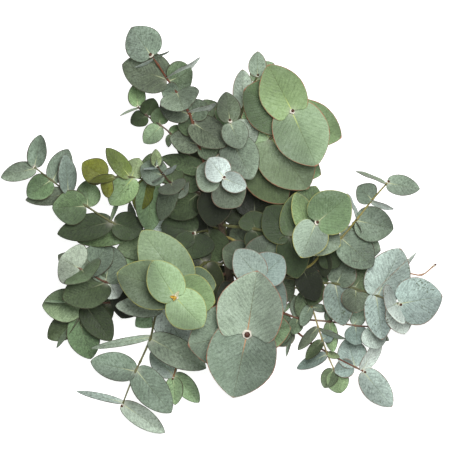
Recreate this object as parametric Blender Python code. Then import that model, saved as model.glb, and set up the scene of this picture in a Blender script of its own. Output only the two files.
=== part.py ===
"""A bushy eucalyptus branch, cut and lying on its woody main stem.

X is right, Y is up and Z is towards the eye, seen from straight above. Z = 0 is the surface
that the branch lies on. Twig routes and leaves are given in millimetres.
Each leafy twig is one solid: a thin tapered stem with its opposite, stalkless leaves grown into it.
"""
import math
from collections import namedtuple
from itertools import product

import bmesh
import bpy
from mathutils import Vector
from mathutils.bvhtree import BVHTree
from mathutils.geometry import interpolate_bezier

MM = 0.001

# Driving sizes, in millimetres
LEAF_THICKNESS = 0.9
CLEARANCE = 0.5          # free space kept between a leaf and what belongs to another twig
SEAT_GAP = 0.3           # between a twig's foot and the main stem
FLOOR_GAP = 0.1          # between a resting leaf and the surface
PAIR_STEP = 1.7          # the second leaf of a pair grows this much further down the stem
FOOT_LENGTH = 5.0        # a twig leaves the main stem at right angles for this far
TIP_BUD = 1.6            # the stem runs past its last pair by this much
TIP_RADIUS = 0.75
LEAF_ROOT_OFFSET = 0.25  # a leaf starts this far from the middle of its stem, on its own side

# The woody main stem
MAIN_ROUTE = [(17, -150, 5.3), (16, -124, 5.3), (14, -98, 5.6), (11, -66, 12),
              (6, -30, 34), (0, 5, 66), (-4, 35, 98)]
MAIN_RADIUS_AT_CUT = 6.2
MAIN_RADIUS_AT_TOP = 2.6
FLAT_LENGTH = 50.0       # the flat spot on the underside runs this far from the cut end

# Leaf form, as shares of the leaf's own length or width
ROOT_WIDTH = 0.14        # width at the foot of a plain leaf
HEART_ROOT_WIDTH = 0.62  # and of a heart-shaped one
WIDEST_AT = 0.42
LOBE_REACH = 0.13        # how far the lobes of a heart-shaped leaf reach behind its foot
DROOP = 0.05             # how far the apex bends down
ROW_SPREAD = 1.3
OUTLINE_SWELL = 1.04     # widens the coarse outline, so that it isn't smaller than the curved one
FRONT_ROUND = 1.9        # how full the front half is
FRONT_BLUNT = 0.7        # the smaller, the blunter the apex
HEART_FRONT_ROUND = 1.75
HEART_FRONT_BLUNT = 0.78
LEAF_COLUMNS = 2
ROWS_BY_WIDTH = ((42.0, 4), (26.0, 3), (0.0, 2))   # wider leaves get more rows of faces
PLAIN_FOLD = 9           # degrees that each half of a leaf is folded up along the midrib

# Stem detail
STEM_SECTION = 26.0      # longest section of a twig's tube
STEM_SIDES_RESOLUTION = 0
MAIN_SECTION = 16.0
MAIN_SIDES_RESOLUTION = 2

# Small changes tried, least first, on a leaf that would cross another twig
BENDS = (0, 4, -4, 8, -8, 13, -13, 20, -20, 30, -30)
TURNS = (0, 6, -6, 14, -14, 26, -26)
SHRINKS = (1.0, 0.94, 0.87, 0.78, 0.68)
BEND_COST = 6.0
TURN_COST = 9.0
SHRINK_COST = 18.0

# A leaf grows from a node of its twig's route and reaches to plan position x, y.
# width is its true width; rise tips it up towards the eye, turn rolls it round its midrib.
Leaf = namedtuple("Leaf", "node x y width rise turn fold rests", defaults=(0, 0, PLAIN_FOLD, False))
Twig = namedtuple("Twig", "name station radius heart color route leaves")

# Leaf colours, linear RGB
GREY_GREEN = (0.20, 0.27, 0.19)
DARK_GREEN = (0.07, 0.12, 0.06)
LIGHT_GREEN = (0.33, 0.47, 0.25)
YOUNG_GREEN = (0.40, 0.55, 0.30)
PALE_BLUE = (0.36, 0.46, 0.42)
WHITISH = (0.60, 0.68, 0.62)
OLIVE = (0.24, 0.26, 0.03)
BLUE_GREEN = (0.21, 0.31, 0.24)
BARK = (0.16, 0.09, 0.05)

# From the crown downwards. A twig earlier in the list keeps its leaves where they are,
# and later ones bend clear of it.
TWIGS = [
    Twig("crown_tip", 1.0, 1.5, 0.6, WHITISH,
         [(-2, 41, 112), (0, 47, 130), (3, 51, 146)],
         [Leaf(2, -12, 70, 28, 14), Leaf(2, 25, 41, 24, 12, 25),
          Leaf(1, -23, 62, 36), Leaf(1, 19, 23, 38, -4),
          Leaf(0, 8, 79, 32, -4), Leaf(0, -10, 2, 36, -14)]),
    Twig("northeast_leader", 0.92, 1.9, 0.9, LIGHT_GREEN,
         [(20, 48, 93), (30, 69, 98), (42, 83, 105), (50, 91, 110), (69, 114, 121), (71, 117, 131)],
         [Leaf(5, 47, 163, 47, 6), Leaf(5, 95, 63, 57, 4),
          Leaf(4, 120, 91, 47), Leaf(4, 23, 139, 60),
          Leaf(3, 87, 40, 59, -4), Leaf(3, 24, 120, 42, -10),
          Leaf(2, 105, 53, 48, -18),
          Leaf(1, 66, 26, 44, -10)]),
    Twig("south_big", 0.42, 2.1, 1.0, GREY_GREEN,
         [(14, -74, 40), (22, -92, 70), (25, -103, 92), (26, -105, 106)],
         [Leaf(3, 36, -42, 68, 4), Leaf(3, 12, -168, 71, 2),
          Leaf(2, -33, -116, 66, -4), Leaf(2, 70, -99, 44, -6),
          Leaf(1, 2, -52, 40, -12)]),
    Twig("southwest_bright", 0.58, 1.8, 0.7, YOUNG_GREEN,
         [(-16, -34, 62), (-38, -56, 88), (-45, -63, 102), (-46, -68, 116)],
         [Leaf(3, -68, -32, 38, 12), Leaf(3, -18, -97, 42, 4),
          Leaf(2, -6, -73, 44), Leaf(2, -104, -44, 50, -3),
          Leaf(1, -79, -2, 50, 4), Leaf(1, -5, -56, 36, -2),
          Leaf(0, -50, -2, 34, -8), Leaf(0, -14, -84, 36, -16)]),
    Twig("north_pair", 0.97, 1.5, 0.6, GREY_GREEN,
         [(4, 66, 106), (10, 90, 116), (9, 107, 134)],
         [Leaf(2, 5, 136, 25, 10), Leaf(2, 20, 80, 28, 6),
          Leaf(1, 31, 50, 40, -6), Leaf(1, 37, 104, 32, -10),
          Leaf(0, -18, 88, 30, -12)]),
    Twig("east_centre", 0.80, 1.8, 0.7, LIGHT_GREEN,
         [(34, 0, 84), (72, -8, 98), (86, 0, 108), (95, 6, 121)],
         [Leaf(3, 127, 33, 47, 8), Leaf(3, 80, -28, 37, 12),
          Leaf(2, 75, 36, 30, 12, 40), Leaf(2, 119, -17, 40, -5),
          Leaf(1, 95, 43, 44, -6), Leaf(1, 45, 22, 40, -8),
          Leaf(1, 76, -50, 34, -18), Leaf(0, 30, 18, 30, -8), Leaf(0, 50, -26, 34, -12)]),
    Twig("south_pale_pair", 0.68, 1.5, 0.6, PALE_BLUE,
         [(24, -30, 64), (34, -42, 84), (39, -50, 99)],
         [Leaf(2, 15, -21, 34, 8), Leaf(2, 62, -28, 38, 6),
          Leaf(1, 52, -6, 40, -4), Leaf(1, 64, -82, 32, -10),
          Leaf(0, 2, -20, 32, 2)]),
    Twig("northwest_leader", 0.95, 1.9, 0.6, GREY_GREEN,
         [(-14, 58, 102), (-22, 84, 111), (-28, 106, 117), (-32, 116, 120), (-44, 136, 124),
          (-54, 150, 127), (-63, 164, 132), (-69, 172, 138)],
         [Leaf(7, -90, 202, 41, 6), Leaf(4, -37, 119, 42, 58), Leaf(7, -51, 176, 16, 0, 80),
          Leaf(7, -85, 160, 16, 0, -80),
          Leaf(5, -20, 169, 32, 4, 78), Leaf(5, -98, 164, 42, 4), Leaf(5, -28, 157, 38, -14),
          Leaf(4, -63, 138, 28, -14),
          Leaf(3, -4, 124, 28, 6, 76), Leaf(3, -61, 124, 28, -12, 12), Leaf(3, -14, 126, 24, -18),
          Leaf(2, 6, 83, 36, 6), Leaf(2, -43, 102, 22, -16),
          Leaf(1, -51, 92, 26, -8), Leaf(1, 2, 74, 24, -14),
          Leaf(0, -60, 72, 20, -18)]),
    Twig("northwest_centre", 0.88, 1.5, 0.6, GREY_GREEN,
         [(-22, 36, 88), (-38, 40, 98), (-50, 46, 105), (-58, 55, 110), (-64, 63, 115)],
         [Leaf(4, -65, 79, 12, 30), Leaf(4, -60, 73, 10, 16, 40), Leaf(4, -78, 60, 13, 4, 78),
          Leaf(3, -44, 63, 22, 6, 76), Leaf(3, -69, 47, 20, 0, 76), Leaf(3, -81, 62, 28, -8),
          Leaf(2, -46, 36, 30, 66), Leaf(2, -50, 79, 36, -12), Leaf(2, -62, 8, 22, -24, 20),
          Leaf(1, -33, 32, 30, 66), Leaf(1, -19, 62, 28, -16),
          Leaf(0, -53, 12, 34, -18), Leaf(0, -8, 16, 30, -20)]),
    Twig("olive_west", 0.77, 1.3, 0.5, OLIVE,
         [(-40, 40, 82), (-73, 49, 86), (-91, 52, 88), (-106, 52, 90), (-116, 51, 91)],
         [Leaf(4, -138, 66, 28, 12), Leaf(4, -113, 31, 15, 4, 20), Leaf(3, -133, 47, 10, 20, 30),
          Leaf(2, -114, 81, 20, 10, 20), Leaf(2, -82, 71, 22, -8), Leaf(2, -111, 24, 30, -12),
          Leaf(1, -84, 17, 22, -12), Leaf(1, -72, -4, 30, -14), Leaf(1, -70, 76, 24, -18),
          Leaf(0, -46, 8, 34, -18)]),
    Twig("north_pale", 0.82, 1.3, 0.3, PALE_BLUE,
         [(12, 64, 76), (20, 106, 88), (22, 121, 91), (33, 146, 94), (36, 152, 95)],
         [Leaf(4, 37, 177, 19, 10, 10), Leaf(3, 53, 166, 26), Leaf(2, 22, 159, 23, 8, 15),
          Leaf(2, 40, 112, 24, -10), Leaf(1, -6, 120, 26, -10)]),
    Twig("northwest_small", 0.85, 1.1, 0.2, DARK_GREEN,
         [(-28, 68, 80), (-51, 96, 96), (-61, 104, 98), (-75, 114, 99), (-83, 122, 98)],
         [Leaf(4, -85, 145, 19, 10, 15), Leaf(4, -101, 114, 13, 4, 78),
          Leaf(3, -67, 130, 21, 14, 25), Leaf(3, -90, 106, 22, 8, 20),
          Leaf(2, -61, 122, 19, 4), Leaf(2, -77, 86, 20, -4),
          Leaf(1, -42, 103, 12, 6, 40), Leaf(1, -53, 82, 12, 4, 50)]),
    Twig("east_long", 0.72, 1.5, 0.5, GREY_GREEN,
         [(40, -26, 66), (83, -39, 72), (104, -21, 78), (120, -9, 82), (136, 10, 88),
          (151, 29, 93), (166, 46, 97)],
         [Leaf(6, 198, 40, 23, 8, 0, 24), Leaf(6, 135, 59, 17, 4, 78),
          Leaf(5, 137, 43, 26, 4, 25), Leaf(5, 172, 19, 15, 4, 66),
          Leaf(4, 127, 36, 26, 8, 80), Leaf(4, 172, 0, 37, 2), Leaf(4, 139, -6, 14, -14, 60),
          Leaf(3, 152, -37, 38, 4), Leaf(3, 160, -21, 38, -10),
          Leaf(2, 118, -38, 28, -12), Leaf(2, 103, -48, 20, -20, 30),
          Leaf(1, 72, -10, 30, -18), Leaf(1, 96, -72, 28, -14),
          Leaf(0, 6, 2, 36, -14)]),
    Twig("far_east_pale", 0.55, 1.7, 0.7, PALE_BLUE,
         [(50, -46, 44), (100, -54, 56), (116, -55, 60), (135, -60, 62), (157, -67, 64),
          (178, -75, 68)],
         [Leaf(5, 222, -67, 50, 6), Leaf(5, 166, -79, 44, 66), Leaf(5, 184, -106, 28, -20),
          Leaf(4, 180, -20, 46, 6), Leaf(4, 162, -112, 30, 2), Leaf(4, 197, -26, 14, -8, 60),
          Leaf(3, 135, -84, 31, -2), Leaf(3, 151, -33, 24, -6),
          Leaf(2, 128, -30, 32, 8), Leaf(2, 123, -97, 32, 4),
          Leaf(1, 92, -22, 30, -12), Leaf(1, 88, -77, 22, -8, 10),
          Leaf(0, 60, -20, 36, -14), Leaf(0, 70, -72, 34, -14)]),
    Twig("far_east_thin", 0.60, 1.2, 0.1, BARK,
         [(46, -36, 53), (90, -42, 54), (186, -44, 56), (201, -46, 60), (213, -37, 64)], []),
    Twig("west_long", 0.62, 1.6, 0.4, BLUE_GREEN,
         [(-44, -10, 50), (-90, -3, 60), (-111, 8, 63), (-135, 23, 66), (-153, 36, 67),
          (-170, 49, 67), (-187, 62, 67)],
         [Leaf(6, -180, 94, 22, 6, 25), Leaf(6, -221, 52, 21, 0, 20),
          Leaf(5, -194, 33, 28, 4, 15), Leaf(5, -153, 80, 25, -6),
          Leaf(4, -155, 75, 22, 10, 35), Leaf(4, -196, 29, 19, -8),
          Leaf(3, -169, 21, 36, 2), Leaf(3, -134, 49, 26, -6),
          Leaf(2, -98, 45, 11, 8, 66), Leaf(2, -164, -5, 28, -2), Leaf(2, -78, -3, 30, 8),
          Leaf(1, -90, 28, 15, 6, 50), Leaf(1, -145, -13, 20, -17),
          Leaf(0, -60, 22, 38, -14), Leaf(0, -106, -22, 34, -8)]),
    Twig("west_southwest", 0.50, 1.7, 0.7, GREY_GREEN,
         [(-52, -44, 38), (-90, -58, 46), (-116, -53, 52), (-134, -43, 55), (-141, -40, 57)],
         [Leaf(4, -161, -29, 45, 16), Leaf(4, -133, -50, 44, 64),
          Leaf(3, -110, -12, 32, -12), Leaf(3, -164, -26, 24, -16),
          Leaf(2, -108, -16, 40, 4), Leaf(2, -159, -70, 40), Leaf(2, -103, -69, 26, 10),
          Leaf(1, -88, -14, 34, -12), Leaf(1, -100, -90, 38, -14)]),
    Twig("southwest_long", 0.45, 1.7, 0.5, GREY_GREEN,
         [(-26, -62, 32), (-61, -79, 42), (-71, -110, 40), (-81, -133, 36), (-86, -143, 33),
          (-99, -176, 28)],
         [Leaf(5, -55, -206, 22, -8), Leaf(5, -145, -162, 9, 0, 30),
          Leaf(4, -131, -133, 31, 0, 0, 20), Leaf(4, -50, -185, 34, -6),
          Leaf(2, -15, -140, 33, -4, 0, 22), Leaf(2, -131, -119, 9, 0, 20),
          Leaf(1, -31, -124, 36, -14), Leaf(1, -108, -77, 24, 10),
          Leaf(0, -2, -96, 32, -10)]),
    Twig("southeast_brown", 0.37, 1.4, 0.4, BLUE_GREEN,
         [(36, -80, 24), (61, -84, 32), (79, -90, 34), (109, -93, 35), (135, -97, 37),
          (150, -98, 38)],
         [Leaf(5, 159, -120, 28, -6), Leaf(5, 168, -113, 16, -8, 50), Leaf(4, 137, -117, 24, -4),
          Leaf(4, 143, -80, 16, -8), Leaf(3, 112, -124, 16, -6, 20), Leaf(3, 111, -77, 12, 0, 20),
          Leaf(2, 73, -66, 15, -4), Leaf(2, 72, -106, 16, -8), Leaf(1, 76, -69, 8, 0, 60),
          Leaf(1, 60, -118, 26, -12)]),
    Twig("southeast_thin", 0.50, 1.0, 0.1, BLUE_GREEN,
         [(60, -58, 30), (84, -62, 45), (91, -78, 46), (98, -100, 40), (102, -112, 33),
          (107, -126, 18), (114, -142, 10)],
         [Leaf(6, 121, -167, 24, 0, 0, 12, True), Leaf(6, 104, -160, 18, -10),
          Leaf(5, 76, -140, 14, -6, 20), Leaf(5, 119, -129, 9, 10, 30),
          Leaf(4, 85, -131, 13, 0, 20), Leaf(4, 114, -104, 14, 4),
          Leaf(3, 126, -112, 14, 0, 70), Leaf(3, 77, -121, 12, 0, 20),
          Leaf(2, 109, -81, 9), Leaf(2, 80, -98, 14, -8, 20),
          Leaf(1, 77, -88, 14, -14), Leaf(0, 10, -42, 25, -18)]),
    Twig("southeast_low", 0.32, 1.5, 0.4, PALE_BLUE,
         [(42, -88, 14), (72, -101, 16), (92, -116, 17), (109, -125, 14), (119, -131, 15),
          (135, -139, 14), (143, -143, 12)],
         [Leaf(6, 173, -180, 28, 0, 0, 8, True), Leaf(6, 162, -110, 22, 10, 50),
          Leaf(5, 127, -110, 31, 6), Leaf(5, 114, -143, 20, -8),
          Leaf(1, 65, -128, 6, 0, 40), Leaf(1, 55, -117, 22, -4)]),
    Twig("west_low_green", 0.39, 1.4, 0.4, DARK_GREEN,
         [(-50, -70, 18), (-112, -74, 24), (-139, -76, 23), (-144, -90, 16)],
         [Leaf(3, -177, -112, 26, 0, 0, 8, True), Leaf(3, -131, -131, 34, -6),
          Leaf(3, -167, -119, 12, -14, 50), Leaf(2, -180, -77, 35, -4), Leaf(2, -110, -112, 30, 2),
          Leaf(2, -177, -71, 14, 6, 76),
          Leaf(1, -142, -112, 26, -8), Leaf(1, -114, -36, 34, -6), Leaf(0, -86, -98, 28, -4),
          Leaf(0, 8, -40, 40, -6)]),
    Twig("south_small", 0.27, 1.2, 0.3, BLUE_GREEN,
         [(-8, -104, 11), (-40, -128, 14), (-48, -149, 12)],
         [Leaf(2, -46, -177, 19, -4), Leaf(2, -71, -124, 23, -2),
          Leaf(2, -21, -176, 20, 0, 0, 8, True)]),
    Twig("inner_west", 0.72, 1.4, 0.6, DARK_GREEN,
         [(-14, -2, 58), (-26, -4, 66)],
         [Leaf(1, -30, -30, 42, -2), Leaf(1, -60, 4, 42, -4), Leaf(0, 0, -36, 40, -10),
          Leaf(0, -18, 30, 40, -8)]),
    Twig("inner_east", 0.64, 1.4, 0.6, DARK_GREEN,
         [(24, 8, 50), (34, 14, 58)],
         [Leaf(1, 32, 54, 44, -4), Leaf(1, 72, -6, 44, -8),
          Leaf(0, 10, 40, 40, -10), Leaf(0, 10, -44, 40, -34), Leaf(1, 90, 48, 25, -8)]),
    Twig("under_north", 0.66, 1.5, 0.5, DARK_GREEN,
         [(2, 44, 34), (0, 72, 22), (-4, 102, 12)],
         [Leaf(2, -18, 132, 28, 0, 0, 8, True), Leaf(2, 28, 128, 30, 0, 0, 8, True),
          Leaf(1, -46, 88, 40, -4),
          Leaf(0, -42, 34, 42, -4), Leaf(0, 50, 34, 46, -4)]),
]


def clear_scene():
    for item in list(bpy.data.objects):
        bpy.data.objects.remove(item, do_unlink=True)


def new_collection(name):
    collection = bpy.data.collections.new(name)
    bpy.context.scene.collection.children.link(collection)
    return collection


def plain_material(name, color, roughness):
    material = bpy.data.materials.new(name)
    material.use_nodes = True
    shader = material.node_tree.nodes["Principled BSDF"]
    shader.inputs["Base Color"].default_value = (*color, 1.0)
    shader.inputs["Roughness"].default_value = roughness
    shader.inputs["Metallic"].default_value = 0.0
    return material


def smooth_path(points, longest):
    """Points on a smooth curve through the given ones, in sections no longer than the longest."""
    path = [points[0]]
    last = len(points) - 1
    for index in range(last):
        here = points[index]
        there = points[index + 1]
        reach = (there - here).length / 3
        steps = math.ceil((there - here).length / longest)
        leave = (there - points[max(index - 1, 0)]).normalized()
        arrive = (points[min(index + 2, last)] - here).normalized()
        path += interpolate_bezier(here, here + leave * reach, there - arrive * reach, there, steps + 1)[1:]
    return path


def tube(name, path, radii, resolution, collection):
    """A closed mesh tube of changing radius along a path."""
    curve = bpy.data.curves.new(name, "CURVE")
    curve.dimensions = "3D"
    curve.bevel_depth = 1.0
    curve.bevel_resolution = resolution
    curve.use_fill_caps = True
    spline = curve.splines.new("POLY")
    spline.points.add(len(path) - 1)
    for point, place, radius in zip(spline.points, path, radii):
        point.co = (*place, 1.0)
        point.radius = radius
    curve_object = bpy.data.objects.new(name + "_curve", curve)
    collection.objects.link(curve_object)
    bpy.context.view_layer.update()
    depsgraph = bpy.context.evaluated_depsgraph_get()
    mesh = bpy.data.meshes.new_from_object(curve_object.evaluated_get(depsgraph))
    solid = bpy.data.objects.new(name, mesh)
    solid.matrix_world = curve_object.matrix_world
    collection.objects.link(solid)
    bpy.data.objects.remove(curve_object, do_unlink=True)
    weld = bmesh.new()
    weld.from_mesh(mesh)
    bmesh.ops.remove_doubles(weld, verts=weld.verts, dist=0.01 * MM)
    weld.to_mesh(mesh)
    weld.free()
    return solid


def apply_boolean(target, operation, **operand):
    """Cut or join a mesh object with another object or a collection, and keep the result."""
    boolean = target.modifiers.new("boolean", "BOOLEAN")
    boolean.operation = operation
    boolean.solver = "EXACT"
    for key, value in operand.items():
        setattr(boolean, key, value)
    bpy.context.view_layer.update()
    depsgraph = bpy.context.evaluated_depsgraph_get()
    result = bpy.data.meshes.new_from_object(target.evaluated_get(depsgraph))
    target.modifiers.clear()
    old = target.data
    target.data = result
    bpy.data.meshes.remove(old)


def main_path():
    return smooth_path([Vector(point) * MM for point in MAIN_ROUTE], MAIN_SECTION * MM)


def main_radius(share):
    """Radius of the main stem at a share of its length, from the cut end to the top."""
    return (MAIN_RADIUS_AT_CUT + (MAIN_RADIUS_AT_TOP - MAIN_RADIUS_AT_CUT) * share) * MM


def path_shares(path):
    """How far along its whole length each point of a path lies, from 0 to 1."""
    lengths = [0.0]
    for before, after in zip(path, path[1:]):
        lengths.append(lengths[-1] + (after - before).length)
    return [length / lengths[-1] for length in lengths]


def along_path(path, share):
    """The place and the direction at a share of a path's length."""
    shares = path_shares(path)
    for index in range(1, len(path)):
        if shares[index] >= share or index == len(path) - 1:
            part = (share - shares[index - 1]) / (shares[index] - shares[index - 1])
            direction = (path[index] - path[index - 1]).normalized()
            return path[index - 1].lerp(path[index], part), direction


def make_main_stem(collection, cutters):
    path = main_path()
    radii = [main_radius(share) for share in path_shares(path)]
    stem = tube("main_stem", path, radii, MAIN_SIDES_RESOLUTION, collection)
    bpy.ops.mesh.primitive_cube_add(size=1)
    cutter = bpy.context.active_object
    cutter.name = "surface_below"
    cutter.scale = (60 * MM, 2 * FLAT_LENGTH * MM, 20 * MM)
    cutter.location = (MAIN_ROUTE[0][0] * MM, MAIN_ROUTE[0][1] * MM, -10 * MM)
    for owner in list(cutter.users_collection):
        owner.objects.unlink(cutter)
    cutters.objects.link(cutter)
    apply_boolean(stem, "DIFFERENCE", object=cutter)
    bpy.data.objects.remove(cutter, do_unlink=True)
    stem.data.materials.clear()
    stem.data.materials.append(plain_material("bark", BARK, 0.8))
    return stem


def twig_route(twig):
    """The twig's foot on the main stem, its first way out, and then its nodes."""
    place, direction = along_path(main_path(), twig.station)
    nodes = [Vector(point) * MM for point in twig.route]
    if twig.station >= 1.0:
        outward = direction
        foot = place + outward * SEAT_GAP * MM
    else:
        outward = nodes[0] - place
        outward -= direction * outward.dot(direction)
        outward.normalize()
        foot = place + outward * (main_radius(twig.station) + SEAT_GAP * MM)
    return [foot, foot + outward * FOOT_LENGTH * MM] + nodes


def twig_path(twig):
    route = twig_route(twig)
    end = (route[-1] - route[-2]).normalized() * TIP_BUD * MM
    return smooth_path(route, STEM_SECTION * MM) + [route[-1] + end]


def make_twig_stem(twig, collection):
    path = twig_path(twig)
    radii = []
    for share in path_shares(path):
        radii.append((twig.radius + (TIP_RADIUS - twig.radius) * share) * MM)
    return tube(twig.name, path, radii, STEM_SIDES_RESOLUTION, collection)


Blade = namedtuple("Blade", "root axis side normal length width heart fold")


def place_blade(twig, leaf, rank, bend, turn, shrink):
    """Where a leaf grows and how it lies; rank counts the leaves before it at its node."""
    route = twig_route(twig)
    node = route[leaf.node + 2]
    downwards = (route[leaf.node + 1] - node).normalized()
    root = node + downwards * (rank * PAIR_STEP * MM)
    reach = Vector((leaf.x * MM - root.x, leaf.y * MM - root.y, 0.0))
    length = reach.length / math.cos(math.radians(leaf.rise)) * shrink
    rise = math.radians(leaf.rise + bend)
    heading = reach.normalized()
    up = Vector((0.0, 0.0, 1.0))
    axis = heading * math.cos(rise) + up * math.sin(rise)
    flat_normal = up * math.cos(rise) - heading * math.sin(rise)
    flat_side = axis.cross(flat_normal)
    roll = math.radians(leaf.turn + turn)
    normal = flat_normal * math.cos(roll) + flat_side * math.sin(roll)
    side = flat_side * math.cos(roll) - flat_normal * math.sin(roll)
    root = root + axis * LEAF_ROOT_OFFSET * MM
    fold = math.radians(leaf.fold)
    return Blade(root, axis, side, normal, length, leaf.width * MM * shrink, twig.heart, fold)


def half_width(blade, along):
    """Half of the blade's width, as a share of its widest, at a share of its length."""
    root_width = ROOT_WIDTH + (HEART_ROOT_WIDTH - ROOT_WIDTH) * blade.heart ** 2
    if along < WIDEST_AT:
        back = (WIDEST_AT - along) / WIDEST_AT
        return root_width + (1 - root_width) * math.sqrt(1 - back ** 2)
    forward = (along - WIDEST_AT) / (1 - WIDEST_AT)
    full = FRONT_ROUND + (HEART_FRONT_ROUND - FRONT_ROUND) * blade.heart ** 2
    blunt = FRONT_BLUNT + (HEART_FRONT_BLUNT - FRONT_BLUNT) * blade.heart ** 2
    return max(0.0, 1 - forward ** full) ** blunt


def blade_point(blade, across, along):
    """A point of the blade: across runs from -1 to 1 between the rims, along from 0 to 1."""
    sideways = across * half_width(blade, along) * blade.width / 2 * OUTLINE_SWELL
    lobe = LOBE_REACH * blade.heart ** 2 * (1 - along) ** 3 * across ** 2
    forward = (along - lobe) * blade.length
    lift = abs(sideways) * math.sin(blade.fold) - DROOP * along ** 2 * blade.length
    return (blade.root + blade.axis * forward + blade.side * sideways * math.cos(blade.fold)
            + blade.normal * lift)


def blade_solid(blade, thickness):
    """The closed blade, as a bmesh: a shaped sheet raised to its thickness."""
    sheet = bmesh.new()
    rows = next(count for width, count in ROWS_BY_WIDTH if blade.width >= width * MM)
    bmesh.ops.create_grid(sheet, x_segments=LEAF_COLUMNS, y_segments=rows, size=1)
    for vertex in sheet.verts:
        along = ((vertex.co.y + 1) / 2) ** ROW_SPREAD
        place = blade_point(blade, vertex.co.x, min(along, 1.0))
        vertex.co = place - blade.normal * thickness / 2
    bmesh.ops.remove_doubles(sheet, verts=sheet.verts, dist=0.01 * MM)
    bmesh.ops.triangulate(sheet, faces=sheet.faces)
    raised = bmesh.ops.extrude_face_region(sheet, geom=sheet.faces[:], use_keep_orig=True)
    moved = [item for item in raised["geom"] if isinstance(item, bmesh.types.BMVert)]
    bmesh.ops.translate(sheet, verts=moved, vec=blade.normal * thickness)
    bmesh.ops.recalc_face_normals(sheet, faces=sheet.faces)
    return sheet


def lowest(solid):
    return min(vertex.co.z for vertex in solid.verts)


def settled(twig, leaf, rank, shrink):
    """The bend at which a resting leaf's lowest point just meets the surface."""
    low = -80.0
    high = 80.0
    for _ in range(24):
        middle = (low + high) / 2
        solid = blade_solid(place_blade(twig, leaf, rank, middle, 0, shrink), LEAF_THICKNESS * MM)
        if lowest(solid) < FLOOR_GAP * MM:
            low = middle
        else:
            high = middle
        solid.free()
    return high


def changes():
    """Every small change of a leaf, the least first."""
    options = []
    for bend, turn, shrink in product(BENDS, TURNS, SHRINKS):
        cost = abs(bend) / BEND_COST + abs(turn) / TURN_COST + (1 - shrink) * SHRINK_COST
        options.append((cost, bend, turn, shrink))
    return [option[1:] for option in sorted(options)]


def is_clear(solid, twig, leaf, others):
    tree = BVHTree.FromBMesh(solid)
    low = [min(vertex.co[axis] for vertex in solid.verts) for axis in range(3)]
    high = [max(vertex.co[axis] for vertex in solid.verts) for axis in range(3)]
    for owner, node, other, other_low, other_high in others:
        if owner == twig.name and (node is None or node == leaf.node):
            continue
        apart = any(low[axis] > other_high[axis] or high[axis] < other_low[axis] for axis in range(3))
        if not apart and tree.overlap(other):
            return False
    return True


def obstacle(owner, node, solid):
    low = [min(vertex.co[axis] for vertex in solid.verts) for axis in range(3)]
    high = [max(vertex.co[axis] for vertex in solid.verts) for axis in range(3)]
    return owner, node, BVHTree.FromBMesh(solid), low, high


def stem_obstacle(stem):
    solid = bmesh.new()
    solid.from_mesh(stem.data)
    entry = obstacle(stem.name, None, solid)
    solid.free()
    return entry


def fit_leaf(twig, leaf, rank, others):
    """The blade with the least change that clears the other twigs, or None."""
    for bend, turn, shrink in changes():
        if leaf.rests:
            bend = settled(twig, leaf, rank, shrink)
        blade = place_blade(twig, leaf, rank, bend, turn, shrink)
        thick = blade_solid(blade, (LEAF_THICKNESS + 2 * CLEARANCE) * MM)
        low_enough = lowest(thick) > (FLOOR_GAP - CLEARANCE) * MM - 1e-5
        clear = low_enough and is_clear(thick, twig, leaf, others)
        thick.free()
        if clear:
            return blade
    return None


def grow_leaves(stems):
    """Fit every leaf of every twig, in the list's order, and return the blades by twig."""
    others = [stem_obstacle(stem) for stem in stems]
    blades = {twig.name: [] for twig in TWIGS}
    for twig in TWIGS:
        ranks = {}
        for leaf in twig.leaves:
            rank = ranks.get(leaf.node, 0)
            ranks[leaf.node] = rank + 1
            blade = fit_leaf(twig, leaf, rank, others)
            if blade is None:
                print("dropped", twig.name, leaf)
                continue
            solid = blade_solid(blade, LEAF_THICKNESS * MM)
            others.append(obstacle(twig.name, leaf.node, solid))
            solid.free()
            blades[twig.name].append(blade)
    return blades


def join_leaves(stem, blades):
    """One union of the stem with all its leaves."""
    growth = new_collection(stem.name + "_leaves")
    for number, blade in enumerate(blades):
        solid = blade_solid(blade, LEAF_THICKNESS * MM)
        mesh = bpy.data.meshes.new("leaf")
        solid.to_mesh(mesh)
        solid.free()
        growth.objects.link(bpy.data.objects.new(f"leaf_{number}", mesh))
    apply_boolean(stem, "UNION", operand_type="COLLECTION", collection=growth)
    for leaf in list(growth.objects):
        bpy.data.objects.remove(leaf, do_unlink=True)
    bpy.data.collections.remove(growth)


def main():
    clear_scene()
    branch = new_collection("eucalyptus_branch")
    cutters = new_collection("cutters")
    main_stem = make_main_stem(branch, cutters)
    stems = [make_twig_stem(twig, branch) for twig in TWIGS]
    blades = grow_leaves([main_stem] + stems)
    for twig, stem in zip(TWIGS, stems):
        join_leaves(stem, blades[twig.name])
        stem.data.materials.clear()
        stem.data.materials.append(plain_material(twig.name, twig.color, 0.6))
    return blades


main()
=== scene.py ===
import math
import random
from collections import namedtuple
from itertools import product

import bmesh
import bpy
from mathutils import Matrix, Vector, noise
from mathutils.bvhtree import BVHTree
from mathutils.geometry import interpolate_bezier


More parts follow.
